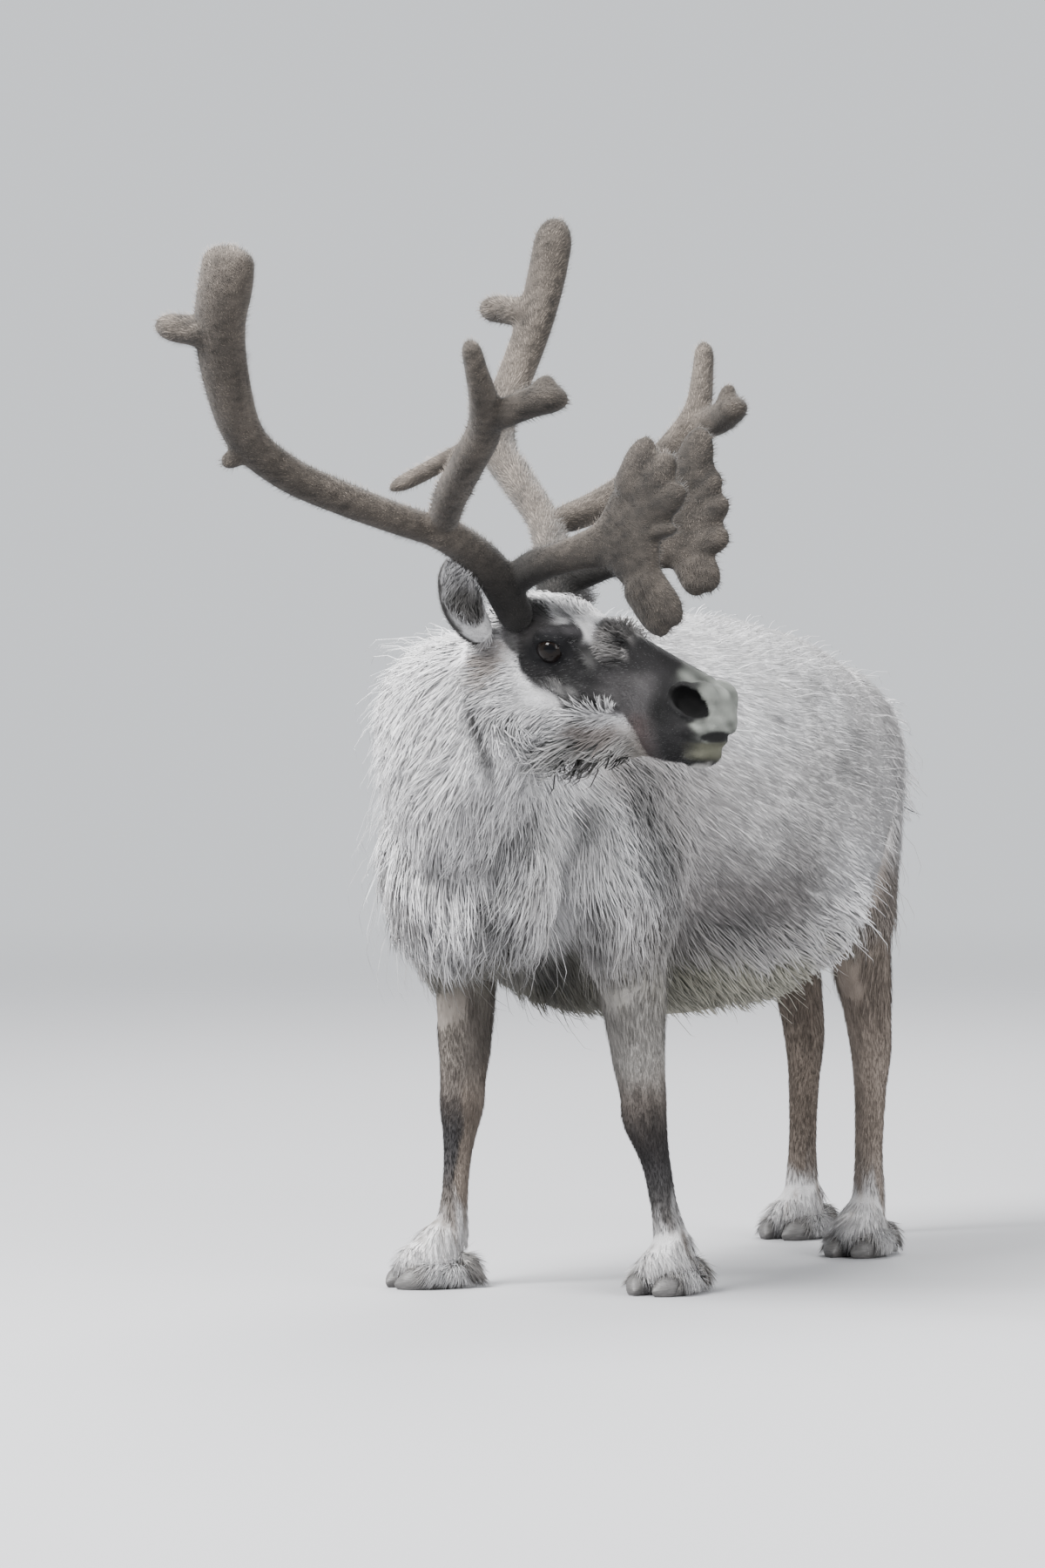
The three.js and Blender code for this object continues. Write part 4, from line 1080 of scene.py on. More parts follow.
fields["lie"] += near_leg[:, None] * np.array([0, 0, -1.6])
fields["length"] += 5 * ramp(y, 760, 880)
fields["unruly"] += 0.4 * ramp(y, 700, 820)
for key in ("lie", "length", "stand", "width", "unruly"):
    fields[key] = eased(trunk_skin, fields[key], 14)
fields["length"] *= 1 - 0.74 * (1 - ramp(from_crease(trunk_skin.points), 9, 32))
inside_head = radii_out(trunk_skin.points, [skull_form]) < INSIDE_HEAD
trunk_skin.bare = (inside_head | (z < TRUNK_END)).astype(float)
print(f"hair of the trunk: {fields['length'].min():.0f} to {fields['length'].max():.0f} mm long")

# %% Length and lie of the legs' hair
z = leg_skin.points[:, 2]
leg_skin.fields["length"] += 13 * ramp(z, 270, 390)
leg_skin.fields["unruly"] += 0.3 * ramp(z, 270, 390)
inside_trunk = radii_out(leg_skin.points, trunk_forms.values()) < INSIDE_TRUNK
leg_skin.bare = (inside_trunk | (z < SOLE_EDGE)).astype(float)
print(f"longest hair of the legs: {leg_skin.fields['length'].max():.0f} mm")

# %% [markdown]
# The hair of the head is short on the muzzle and long on the jaw and cheek, with a collar that stands up
# behind the mask, a crown between the antlers and a tuft on the bridge of the nose.

# %% Length and lie of the head's hair
EYE_CLEARANCE = 1.6
f, l, u = to_head(head_skin.points).T
side = np.abs(l)
on_ear = head_skin.fields["form"] >= FIRST_EAR
fields = head_skin.fields
cheek = ramp(-f, -100, -30) * ramp(-u, 60, 82)
behind = ramp(-f, 25, 60) * ramp(-u, 0, 40)
jaw = ramp(-u, 95, 115) * (1 - ramp(f, 70, 110))
crown = ramp(u, 28, 45) * (1 - ramp(f, 20, 50))
poll = ramp(-f, 55, 90)
tuft = bridge_tuft(f, side, u)
collar = hump(f, 58, 42) * hump(u, -72, 12)
under_eye = hump(f, 8, 34) * hump(u, -48, 20)
under = ramp(-u, 118, 132)
length = 7 - 3.8 * ramp(f, 90, 150) + 20 * cheek + 17 * behind + 26 * jaw + 13 * crown + 14 * poll
length = length + 12 * tuft + 15 * collar + 4 * under_eye
stand = 0.16 + 0.1 * cheek + 0.5 * tuft + 0.15 * crown + 0.27 * collar + 0.2 * jaw + 0.45 * under
wildness = 0.35 + 0.7 * cheek + 0.4 * behind + 1.3 * tuft + 1.4 * collar + 0.6 * jaw + 0.9 * crown
face = {"length": length, "width": 1.0 + 0.065 * length, "stand": stand, "unruly": wildness}
for key, values in face.items():
    fields[key] = np.where(on_ear, fields[key], values)
rise = np.maximum(collar, 0.8 * under_eye)
lie = np.stack(
    [
        -1 + 0.5 * crown + 0.3 * jaw + 1.3 * rise,
        0.25 * np.sign(l) * cheek + 0.8 * np.sign(l) * tuft,
        -0.12 - 0.6 * cheek - 0.9 * jaw + 0.8 * crown + 1.5 * rise,
    ],
    -1,
)
fields["lie"] = np.where(on_ear[:, None], fields["lie"], lie @ HEAD_AXES)
in_cup = (1 - ramp(radii_out(head_skin.points, cup_forms.values()), 1.15, 1.5)) * on_ear
fields["length"] = fields["length"] + 9 * in_cup
fields["stand"] = fields["stand"] + 0.35 * in_cup
eye_out = np.min([np.linalg.norm(np.stack([f, l - s * EYE_SIDE, u]), axis=0) for s in (1, -1)], 0)
inside_neck = radii_out(head_skin.points, [trunk_forms["neck"]]) < INSIDE_NECK
naked = radii_out(head_skin.points, nostril_forms + [mouth_form]) < 1.15
head_skin.bare = (inside_neck | (eye_out < EYE_RADIUS + EYE_CLEARANCE) | naked).astype(float)
head_skin.colour = np.where(on_ear[:, None], ear_colour(head_skin.points), head_skin.colour)
print(f"hairless share of the head's skin: {head_skin.bare.mean():.2f}")

# %% [markdown]
# ## Tufts
# One tuft is a few hairs drawn together: a thin three-sided strip, closed at the root and pointed at the
# tip. It leaves the skin, bends over along the lie and sags a little. Thousands are computed at once as
# arrays, which keeps them real geometry in every view.

# %% Roots and tufts
SINK = 1.5
LOCK_SIZE = 30.0
FLOOR_GAP = 0.4
PATCH_HALF = 0.0015
SCATTER_WAVES = np.array([[12.99, 39.35, 73.16], [78.23, 11.13, 52.24], [37.72, 83.15, 9.15]])
SCATTER_GAIN = 4375.85
TONE_WAVES = np.array([1.3, 2.7, 0.9])
TONE_GAIN = 437.58
rng = np.random.default_rng(12)


def lock_centres(points, size):
    """The nearest of one jittered spot per cell of a grid, for each point.

    The jitter is the fraction of SCATTER_GAIN sin(cell @ SCATTER_WAVES), which looks random and repeats.
    """
    cell = np.floor(points / size).astype(int)
    nearest, centre = np.full(len(points), np.inf), np.zeros(points.shape)
    for step in np.ndindex(3, 3, 3):
        there = cell + step - 1
        spot = (there + np.sin(there @ SCATTER_WAVES) * SCATTER_GAIN % 1.0) * size
        away = ((points - spot) ** 2).sum(-1)
        closer = away < nearest
        nearest[closer], centre[closer] = away[closer], spot[closer]
    return centre


def scatter(skin, count, chance=None):
    """Roots spread over a skin: a triangle's chance is its area over the size of the hair it grows."""
    fields = skin.fields
    need = (1 - skin.bare) / (fields["width"] * fields["length"]) ** 0.8
    if chance is not None:
        need = need * chance
    a, b, c = (skin.points[skin.triangles[:, k]] for k in range(3))
    area = np.linalg.norm(np.cross(b - a, c - a), axis=1) / 2
    whole = skin.bare[skin.triangles].max(1) < 0.5
    weight = area * need[skin.triangles].mean(1) * whole
    total = np.cumsum(weight)
    picks = (np.arange(count) + rng.random(count)) / count * total[-1]
    chosen = np.minimum(np.searchsorted(total, picks), len(total) - 1)
    p, q = rng.random((2, count))
    over = p + q > 1
    p, q = np.where(over, 1 - p, p), np.where(over, 1 - q, q)
    shares = np.stack([1 - p - q, p, q], -1)
    corners = skin.triangles[chosen]

    def blend(values):
        """A field's value at the roots, from the three corners of their triangles."""
        return np.einsum("nk,nk...->n...", shares, values[corners])

    roots = {key: blend(fields[key]) for key in ("lie", "length", "stand", "width", "unruly")}
    roots.update(point=blend(skin.points), out=unit(blend(skin.normals)), colour=blend(skin.colour))
    roots["form"], roots["t"], roots["angle"] = (fields[key][corners[:, 0]] for key in ("form", "t", "angle"))
    return roots


def comb(roots):
    """Turns each root's lie by the wind-blown fields, gathers long hair into locks, varies every size.

    Near the floor a hair is at most 1.2 times the height of its root long, plus 2 mm.
    """
    count, point, out = len(roots["point"]), roots["point"], roots["out"]
    wild = roots["unruly"][:, None]
    lean = wander(point, 70, 21) * 0.34 * wild**2 + wander(point, 13, 22) * 0.15 * wild
    lie = unit(roots["lie"]) + lean + rng.normal(0, 0.13, (count, 3)) * wild
    roots["lie"] = unit(lie - dot(lie, out)[:, None] * out)
    gathered = ramp(roots["length"], 18, 60)
    spot = lock_centres(point, LOCK_SIZE)
    lock_tone = np.sin(spot @ TONE_WAVES) * TONE_GAIN % 1.0
    centre = spot - point
    centre = centre - dot(centre, out)[:, None] * out
    roots["pull"] = centre * (0.03 + 0.6 * gathered)[:, None]
    clump = wander(point, 26, 23, 1)[:, 0]
    within = np.exp(-dot(centre, centre) / (0.4 * LOCK_SIZE) ** 2)
    roots["length"] = roots["length"] * (1 + 0.14 * clump + 0.25 * gathered * (within - 0.4))
    roots["length"] *= rng.uniform(0.74, 1.2, count)
    roots["length"] = np.minimum(roots["length"], 1.2 * np.maximum(point[:, 2], 1) + 2)
    roots["width"] = roots["width"] * rng.uniform(0.7, 1.25, count)
    roots["stand"] = roots["stand"] * rng.uniform(0.5, 1.5, count) + 0.10 * gathered * within
    shaggy = ramp(roots["unruly"], 0.45, 1.0)
    roots["tone"] = 1 + (0.09 + 0.06 * shaggy) * rng.uniform(-1.3, 0.9, count)
    roots["tone"] *= (1 + 0.05 * clump) * (1 + 0.16 * gathered * (within - 0.5))
    roots["tone"] *= 1 - 0.29 * shaggy * lock_tone
    roots["lay"] = unit(out - 0.5 * gathered[:, None] * centre / LOCK_SIZE)
    return roots


def tuft_arrays(roots, rings, sag=0.08, flatness=0.40, root_tone=0.78, tip_tone=1.12):
    """Points, faces, colour, strand coordinates, map and lay of closed three-sided strips.

    With s from 0 at the root to 1 at the tip, the middle of a strip is
    root - SINK (1 - s) out + L s lie + s^2 pull + stand L sin(0.65 pi s) out - sag L s^2 up, and its
    half width is W (1 - s)^0.6 (0.75 + 0.5 s) / 2. No point lies lower than FLOOR_GAP.
    """
    count = len(roots["point"])
    s = np.append(np.linspace(0, 0.74, rings) if rings > 1 else [0.0], 1.0)
    length = roots["length"][:, None]
    rise = roots["stand"][:, None] * length * np.sin(0.65 * np.pi * s) - SINK * (1 - s)
    middle = roots["point"][:, None] + (length * s)[..., None] * roots["lie"][:, None]
    middle = middle + rise[..., None] * roots["out"][:, None] + s[:, None] ** 2 * roots["pull"][:, None]
    middle[..., 2] -= sag * length * s**2
    half = 0.5 * roots["width"][:, None] * (1 - s[:-1]) ** 0.6 * (0.75 + 0.5 * s[:-1])
    across = np.cross(roots["out"], roots["lie"])
    twist = rng.normal(0, 0.3, count)[:, None]
    left = np.cos(twist) * across + np.sin(twist) * roots["out"]
    ridge = np.cos(twist) * roots["out"] - np.sin(twist) * across
    arms = np.stack([left, 2 * flatness * ridge, -left], 1)
    rings_at = middle[:, :-1, None] + half[..., None, None] * arms[:, None]
    points = np.concatenate([rings_at.reshape(count, -1, 3), middle[:, -1:]], 1)
    points[..., 2] = np.maximum(points[..., 2], FLOOR_GAP)
    per = 3 * rings + 1
    edges = [(j, (j + 1) % 3) for j in range(3)]
    sides = [[r + j, r + k, r + 3 + k, r + 3 + j] for r in range(0, 3 * (rings - 1), 3) for j, k in edges]
    last = 3 * (rings - 1)
    fans = [[last + j, last + k, 3 * rings] for j, k in edges] + [[2, 1, 0]]
    start = (per * np.arange(count))[:, None, None]
    quads = (start + np.array(sides, int).reshape(1, -1, 4)).reshape(-1, 4)
    triangles = (start + np.array(fans)[None]).reshape(-1, 3)
    share = np.append(np.repeat(s[:-1], 3), 1.0)
    reach = np.append(np.tile([1.0, 0.0, -1.0], rings), 0.0)
    # Darker at the root, lighter at the tip: partly grey underfur, partly painted shade deep in the coat.
    shade = (root_tone + (tip_tone - root_tone) * share) * roots["tone"][:, None]
    spread = (count, per)
    serial = np.arange(count)[:, None] * 7.31 % 997
    across_mm = reach * roots["width"][:, None]
    strand = np.stack([across_mm, share * length, np.broadcast_to(serial, spread)], -1)
    patch = np.stack([np.broadcast_to(reach, spread), np.broadcast_to(2 * share - 1, spread)], -1)
    return {
        "points": points.reshape(-1, 3),
        "quads": quads,
        "triangles": triangles,
        "colour": np.clip(roots["colour"][:, None] * shade[..., None], 0, 1).reshape(-1, 3),
        "strand": strand.reshape(-1, 3),
        "place": (roots["uv"][:, None] + PATCH_HALF * patch).reshape(-1, 2),
        "lay": np.repeat(roots["lay"], per, axis=0),
    }


def vectors(mesh, name, values):
    """A named vector at every point of a mesh."""
    mesh.attributes.new(name, "FLOAT_VECTOR", "POINT").data.foreach_set("vector", values.ravel())


def dress(piece, colour, strand, lay, place=None):
    """Writes the colour, the strand coordinates, the lay of the hair and the bake map of a piece."""
    mesh = piece.data
    shown = mesh.color_attributes.new("coat", "FLOAT_COLOR", "POINT")
    shown.data.foreach_set("color", np.column_stack([colour, np.ones(len(colour))]).ravel())
    vectors(mesh, "strand", strand)
    vectors(mesh, "lay", lay)
    if place is not None:
        corners = np.empty(len(mesh.loops), np.int32)
        mesh.loops.foreach_get("vertex_index", corners)
        bake = mesh.uv_layers.new(name="OFBake")
        bake.data.foreach_set("uv", place[corners].ravel())


def tufts(name, roots, rings, material, slot, **shape):
    """One coat piece: its mesh, attributes, material and place in the frame."""
    made = tuft_arrays(roots, rings, **shape)
    piece = make_object(name, made["points"], made["quads"], made["triangles"])
    dress(piece, made["colour"], made["strand"], made["lay"], made["place"])
    put_in_frame(piece, material)
    print(f"{name}: {len(roots['point'])} tufts, {2 * len(made['quads']) + len(made['triangles'])} triangles")


def subset(roots, keep):
    """The roots for which keep is true."""
    return {key: values[keep] for key, values in roots.items()}


# %% [markdown]
# ## Materials
# A tuft stands for a few dozen hairs, so its surface is broken up by a noise that is stretched along the
# strand. The same shader group does it for the coat, the skin between the tufts, the velvet and the growth
# bands of the horn, each with its own fineness and contrast. The colour itself is an attribute of the mesh.

# %% Materials
def node(tree, kind, **settings):
    """A new node, with its properties set by name."""
    made = tree.nodes.new(kind)
    for key, value in settings.items():
        setattr(made, key, value)
    return made


def wire(tree, *pairs):
    """Links an output to an input, for each pair of sockets."""
    for leaving, entering in pairs:
        tree.links.new(leaving, entering)


def group_of(name, inputs, outputs):
    """An empty shader group with named sockets."""
    tree = bpy.data.node_groups.new(name, "ShaderNodeTree")
    for label, kind, value in inputs:
        socket = tree.interface.new_socket(label, in_out="INPUT", socket_type=kind)
        if value is not None:
            socket.default_value = value
    for label, kind in outputs:
        tree.interface.new_socket(label, in_out="OUTPUT", socket_type=kind)
    return tree, node(tree, "NodeGroupInput"), node(tree, "NodeGroupOutput")


def strand_group():
    """Fine hairs: noise stretched along the strand, as a change of tone and as a height.

    The normal leans from the strip's own towards the lay of the coat, which softens single strips.
    """
    inputs = [
        ("Colour", "NodeSocketColor", None),
        ("Fineness", "NodeSocketFloat", 1.2),
        ("Contrast", "NodeSocketFloat", 0.5),
        ("Lay", "NodeSocketFloat", 0.7),
    ]
    outputs = [("Colour", "NodeSocketColor"), ("Height", "NodeSocketFloat"), ("Normal", "NodeSocketVector")]
    tree, start, end = group_of("fine_hairs", inputs, outputs)
    strand = node(tree, "ShaderNodeAttribute", attribute_name="strand")
    lay = node(tree, "ShaderNodeAttribute", attribute_name="lay")
    surface = node(tree, "ShaderNodeNewGeometry")
    squeeze = node(tree, "ShaderNodeVectorMath", operation="MULTIPLY")
    squeeze.inputs[1].default_value = (1.0, 0.06, 1.0)
    noise = node(tree, "ShaderNodeTexNoise")
    noise.inputs["Detail"].default_value = 2.0
    level = node(tree, "ShaderNodeMapRange")
    level.inputs["From Min"].default_value, level.inputs["From Max"].default_value = 0.32, 0.68
    dark = node(tree, "ShaderNodeMath", operation="SUBTRACT")
    dark.inputs[0].default_value = 1.0
    grey = node(tree, "ShaderNodeMix", data_type="FLOAT")
    grey.inputs[3].default_value = 1.1
    scale = node(tree, "ShaderNodeMix", data_type="RGBA", blend_type="MULTIPLY")
    scale.inputs[0].default_value = 1.0
    lean = node(tree, "ShaderNodeMix", data_type="VECTOR")
    whole = node(tree, "ShaderNodeVectorMath", operation="NORMALIZE")
    wire(
        tree,
        (strand.outputs["Vector"], squeeze.inputs[0]),
        (squeeze.outputs[0], noise.inputs["Vector"]),
        (start.outputs["Fineness"], noise.inputs["Scale"]),
        (noise.outputs[0], level.inputs["Value"]),
        (start.outputs["Contrast"], dark.inputs[1]),
        (level.outputs[0], grey.inputs[0]),
        (dark.outputs[0], grey.inputs[2]),
        (start.outputs["Colour"], scale.inputs[6]),
        (grey.outputs[0], scale.inputs[7]),
        (start.outputs["Lay"], lean.inputs[0]),
        (surface.outputs["Normal"], lean.inputs[4]),
        (lay.outputs["Vector"], lean.inputs[5]),
        (lean.outputs[1], whole.inputs[0]),
        (scale.outputs[2], end.inputs["Colour"]),
        (level.outputs[0], end.inputs["Height"]),
        (whole.outputs[0], end.inputs["Normal"]),
    )
    return tree


FINE_HAIRS = strand_group()


def hair_material(name, contrast, roughness, sheen, fineness=1.2, bump=0.25, lay=0.7, specular=0.2):
    """Coat colour from the attribute, broken into fine hairs, with a soft sheen."""
    material = bpy.data.materials.new(name)
    material.use_nodes = True
    tree = material.node_tree
    shader = tree.nodes["Principled BSDF"]
    painted = node(tree, "ShaderNodeAttribute", attribute_name="coat")
    hairs = node(tree, "ShaderNodeGroup", node_tree=FINE_HAIRS)
    hairs.inputs["Contrast"].default_value = contrast
    hairs.inputs["Fineness"].default_value = fineness
    hairs.inputs["Lay"].default_value = lay
    raised = node(tree, "ShaderNodeBump")
    raised.inputs["Strength"].default_value = bump
    raised.inputs["Distance"].default_value = 0.001
    wire(
        tree,
        (painted.outputs["Color"], hairs.inputs["Colour"]),
        (hairs.outputs["Colour"], shader.inputs["Base Color"]),
        (hairs.outputs["Height"], raised.inputs["Height"]),
        (hairs.outputs["Normal"], raised.inputs["Normal"]),
        (raised.outputs["Normal"], shader.inputs["Normal"]),
    )
    shader.inputs["Roughness"].default_value = roughness
    shader.inputs["Specular IOR Level"].default_value = specular
    shader.inputs["Sheen Weight"].default_value = sheen
    shader.inputs["Sheen Roughness"].default_value = 0.5
    return material


COAT_HAIR = hair_material("coat_hair", 0.32, 0.75, 0.15)
FLANK_HAIR = hair_material("flank_hair", 0.28, 0.75, 0.12, lay=0.85)
SHORT_HAIR = hair_material("short_hair", 0.50, 0.65, 0.0, specular=0.1)
SKIN_HAIR = hair_material("skin_hair", 0.35, 0.7, 0.0, fineness=1.0, bump=0.5, lay=0.0, specular=0.08)
VELVET_HAIR = hair_material("velvet_hair", 0.2, 0.85, 0.20, lay=0.5)
VELVET_SKIN = hair_material("velvet_skin", 0.35, 0.85, 0.10, fineness=0.8, bump=0.5, lay=0.0)

# %% [markdown]
# ## The skin as one piece
# Under the coat lies one skin in the same colours, a little darker, so that no bright gap shows between
# two tufts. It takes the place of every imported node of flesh.

# %% The skin as one piece
SKIN_SHADE = 0.86


def stripes(skin):
    """Strand coordinates of a skin: across and along the lie of its hair."""
    lie = skin.fields["lie"]
    lie = unit(lie - dot(lie, skin.normals)[:, None] * skin.normals)
    across = dot(skin.points, np.cross(skin.normals, lie))
    return np.stack([across, dot(skin.points, lie), np.zeros(len(across))], -1)


skins = [trunk_skin, leg_skin, head_skin]
skin_piece = make_object("skin", *joined([(skin.points, skin.quads, skin.loose) for skin in skins]))
dress(
    skin_piece,
    np.vstack([skin.colour * SKIN_SHADE for skin in skins]),
    np.vstack([stripes(skin) for skin in skins]),
    np.vstack([skin.normals for skin in skins]),
)
put_in_frame(skin_piece, SKIN_HAIR)
flesh = ["torso", "neck", "head", "tail", "ear_left", "ear_right"]
flesh += [f"{leg}_{part}" for leg in LEGS for part in ("upper", "lower", "foot")]
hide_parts(*flesh)
print("skin in place of", len(flesh), "packed nodes")

# %% [markdown]
# ## Coat pieces
# The coat is made in pieces by region and by kind of hair: fine hair that lies flat, soft hair that turns
# in the wind, long hair that hangs in locks, and a few guard hairs that stand out of the outline. Short
# strips have fewer rings, because a bend in them would not be seen.

# %% Coat pieces
COUNTS = {
    "fine": 78000,
    "soft": 23500,
    "long": 17500,
    "guard": 3000,
    "shanks": 36000,
    "face_fine": 38000,
    "face_long": 10000,
    "velvet": 25000,
    "hoof": 1000,
    "dewclaw": 350,
}
CHART_EDGE = 0.05
FEWEST = 50


def chart(roots, names, columns):
    """A place on the unwrapped skin: each form is a cell, its angle across and its length up."""
    inner = 1 - 2 * CHART_EDGE
    u = (roots["form"] % columns + CHART_EDGE + inner * (roots["angle"] / TAU % 1.0)) / columns
    v = (roots["form"] // columns + CHART_EDGE + inner * roots["t"]) / np.ceil(len(names) / columns)
    return np.column_stack([u, v])


length, unruly = trunk_skin.fields["length"], trunk_skin.fields["unruly"]
is_long, is_wild = ramp(length, 42, 52), ramp(unruly, 0.5, 0.75)
for name, chance, rings in (
    ("fine", (1 - is_long) * (1 - is_wild), 1),
    ("soft", (1 - is_long) * is_wild, 2),
    ("long", is_long * (0.7 + is_wild), 3),
):
    body = comb(scatter(trunk_skin, COUNTS[name], chance))
    body["uv"] = chart(body, body_forms, 4)
    part = np.array(list(body_forms))[body["form"]]
    left = body["point"][:, 0] > -40
    regions = {
        "tail": part == "tail",
        "neck": np.isin(part, ["neck", "brisket"]),
        "shoulders": np.char.startswith(part, "shoulder") | np.char.startswith(part, "foreleg"),
        "haunches": np.char.startswith(part, "haunch") | np.char.startswith(part, "hindleg"),
        "flank_left": (part == "barrel") & left,
        "flank_right": (part == "barrel") & ~left,
    }
    material = FLANK_HAIR if rings == 1 else COAT_HAIR
    for region, keep in regions.items():
        if keep.sum() < FEWEST:
            continue
        slot = "grey_coat" if region in ("flank_left", "flank_right", "haunches") else "pale_coat"
        tufts(f"coat_{region}_{name}", subset(body, keep), rings, material, slot)

# %% Guard hairs
guard = comb(scatter(trunk_skin, COUNTS["guard"], 0.4 + is_wild))
guard["uv"] = chart(guard, body_forms, 4)
guard["length"] = guard["length"] * rng.uniform(1.1, 1.7, len(guard["length"]))
guard["length"] *= 1 - 0.4 * ramp(guard["point"][:, 1], 780, 860)
on_haunch = hump(guard["point"][:, 1], 600, 170) * hump(guard["point"][:, 2], 640, 140)
guard["length"] *= 1 + 0.5 * on_haunch
guard["width"] = 0.42 * guard["width"]
guard["stand"] = guard["stand"] + rng.uniform(0.05, 0.38, len(guard["stand"])) * (1 + 0.4 * on_haunch)
guard["tone"] = 1.15 * guard["tone"]
tufts("coat_guard_hairs", guard, 3, COAT_HAIR, "pale_coat", sag=0.12)

# %% Coat of the legs
shanks = comb(scatter(leg_skin, COUNTS["shanks"]))
shanks["tone"] *= rng.uniform(0.72, 1.2, len(shanks["tone"]))
shanks["uv"] = chart(shanks, leg_forms, 4)
fore = shanks["point"][:, 1] < 400
tufts("coat_forelegs", subset(shanks, fore), 1, SHORT_HAIR, "leg_coat")
tufts("coat_hindlegs", subset(shanks, ~fore), 1, SHORT_HAIR, "leg_coat")

# %% Coat of the head and the ears
head_long = ramp(head_skin.fields["length"], 10, 16)
for name, chance, rings in (("fine", 1 - head_long, 1), ("long", head_long, 2)):
    face = comb(scatter(head_skin, COUNTS["face_" + name], chance))
    face["uv"] = chart(face, head_forms, 3)
    on_ear = face["form"] >= FIRST_EAR
    grizzled = (rng.random(len(on_ear)) < 0.2) & ~on_ear
    face["colour"] = mix(face["colour"], np.maximum(face["colour"], 0.10), 0.8 * grizzled)
    tufts(f"coat_head_{name}", subset(face, ~on_ear), rings, SHORT_HAIR, "face_coat")
    tufts(f"coat_ears_{name}", subset(face, on_ear), rings, SHORT_HAIR, "ear_coat")

# %% [markdown]
# ## Antlers in velvet
# Each antler is a beam that sweeps back and up, a forked bez tine, a palm over the face and short rear
# tines. All of its branches are ovals along curves, welded into one smooth body; the velvet is a dense
# pile of very short spikes whose tips are painted pale, a painted rim light at the edges.

# %% Stations of the antlers: back, outward, up from the pedicle, half width, half depth
ANTLERS = {
    "right": {
        "lower": [
            [-2, -6, -26, 22], [10, 6, 8, 23], [21, 31, 47, 24],
            [33, 64, 72, 23], [46, 102, 91, 22], [72, 132, 104, 20],
        ],
        "upper": [
            [46, 102, 91, 19], [79, 142, 107, 20, 21], [128, 194, 132, 21, 23],
            [178, 244, 163, 22, 24], [207, 292, 206, 22, 27], [206, 338, 276, 23, 31],
            [195, 369, 336, 24, 33], [177, 386, 383, 25, 35], [171, 388, 424, 24, 33],
        ],
        "rear": [[200, 276, 198, 14], [219, 289, 182, 13], [236, 295, 173, 11]],
        "stub": [[192, 366, 322, 22], [237, 373, 328, 19], [276, 378, 334, 18]],
        "bez": [
            [50, 102, 97, 18], [16, 145, 134, 21], [-27, 182, 174, 22], [-60, 203, 212, 22],
            [-76, 234, 246, 19], [-78, 256, 282, 15], [-76, 270, 316, 13],
        ],
        "bezFork": [[-58, 212, 216, 18], [-106, 217, 236, 19], [-143, 212, 248, 20], [-172, 207, 246, 16]],
        "bezLobe": [[-128, 210, 248, 14], [-142, 210, 262, 14], [-154, 209, 272, 12]],
        "browStem": [
            [12, 8, 30, 17, 21], [-26, 19, 52, 17, 22], [-72, 23, 65, 16, 22], [-121, 28, 78, 15, 30],
            [-146, 33, 84, 14, 56], [-172, 38, 88, 13, 84], [-192, 41, 86, 12, 84], [-204, 42, 86, 10, 66],
        ],
        "palmLobes": [
            [184, 186, 21], [208, 168, 23], [220, 136, 22], [220, 97, 10], [216, 4, 23], [203, -10, 20],
        ],
    },
    "left": {
        "lower": [
            [-4, -6, -26, 22], [4, 2, 12, 23], [19, 31, 47, 24],
            [44, 70, 74, 22], [69, 107, 95, 22], [92, 132, 110, 20],
        ],
        "upper": [
            [69, 107, 95, 19], [99, 138, 118, 20, 21], [153, 191, 152, 21, 22],
            [206, 242, 187, 21, 23], [235, 293, 230, 22, 24], [239, 340, 276, 22, 24],
            [226, 367, 342, 22, 25], [217, 385, 404, 23, 26], [206, 393, 478, 23, 26],
        ],
        "rear": [[224, 286, 210, 15], [281, 282, 188, 13], [328, 275, 164, 13], [374, 264, 141, 12]],
        "stub": [[220, 360, 358, 20], [266, 369, 364, 19], [303, 373, 366, 18]],
        "bez": [
            [68, 110, 100, 18], [23, 154, 124, 21], [-18, 192, 159, 21], [-53, 213, 199, 21],
            [-70, 230, 237, 18], [-67, 251, 281, 15], [-63, 265, 322, 13],
        ],
        "bezFork": [[-58, 222, 212, 18], [-101, 220, 226, 20], [-128, 207, 238, 19], [-150, 199, 243, 14]],
        "bezLobe": [[-112, 212, 238, 13], [-122, 208, 256, 12], [-128, 207, 270, 10]],
        "browStem": [
            [4, 10, 30, 17, 21], [-20, 22, 44, 17, 22], [-62, 28, 60, 16, 22], [-100, 34, 76, 15, 34],
            [-122, 38, 92, 14, 60], [-148, 41, 104, 13, 84], [-166, 42, 106, 12, 84], [-178, 42, 104, 10, 62],
        ],
        "palmLobes": [
            [167, 196, 23], [183, 150, 18], [190, 122, 19], [188, 86, 20], [176, 42, 22], [162, 34, 18],
        ],
    },
}
VELVET_DARK = [0.008, 0.0072, 0.0065]
VELVET_PALE = [0.050, 0.042, 0.035]
PEDICLE = [-44, 45, 43]
PALM_MIDDLE = [-140, 40, 86]
PALM_THICKNESS = 13
LOBE_ROOT = 0.45
# Which way a branch's first reach points, and the share of its length that is rounded at each end.
BRANCHES = {
    "lower": ([-1, 0, 0.2], 0.15),
    "upper": ([-1, 0, 0.1], 0.06),
    "rear": (UP, 0.2),
    "stub": (UP, 0.35),
    "bez": ([1, 0, 0.3], 0.07),
    "bezFork": (UP, 0.25),
    "bezLobe": ([0, 1, 0], 0.4),
    "browStem": (UP, 0.05),
}
VELVET_INSET = 1.5
VELVET_PILE = (1.0, [0, 0, 0.1], 5.4, 1.0, 1.05, 1.0)


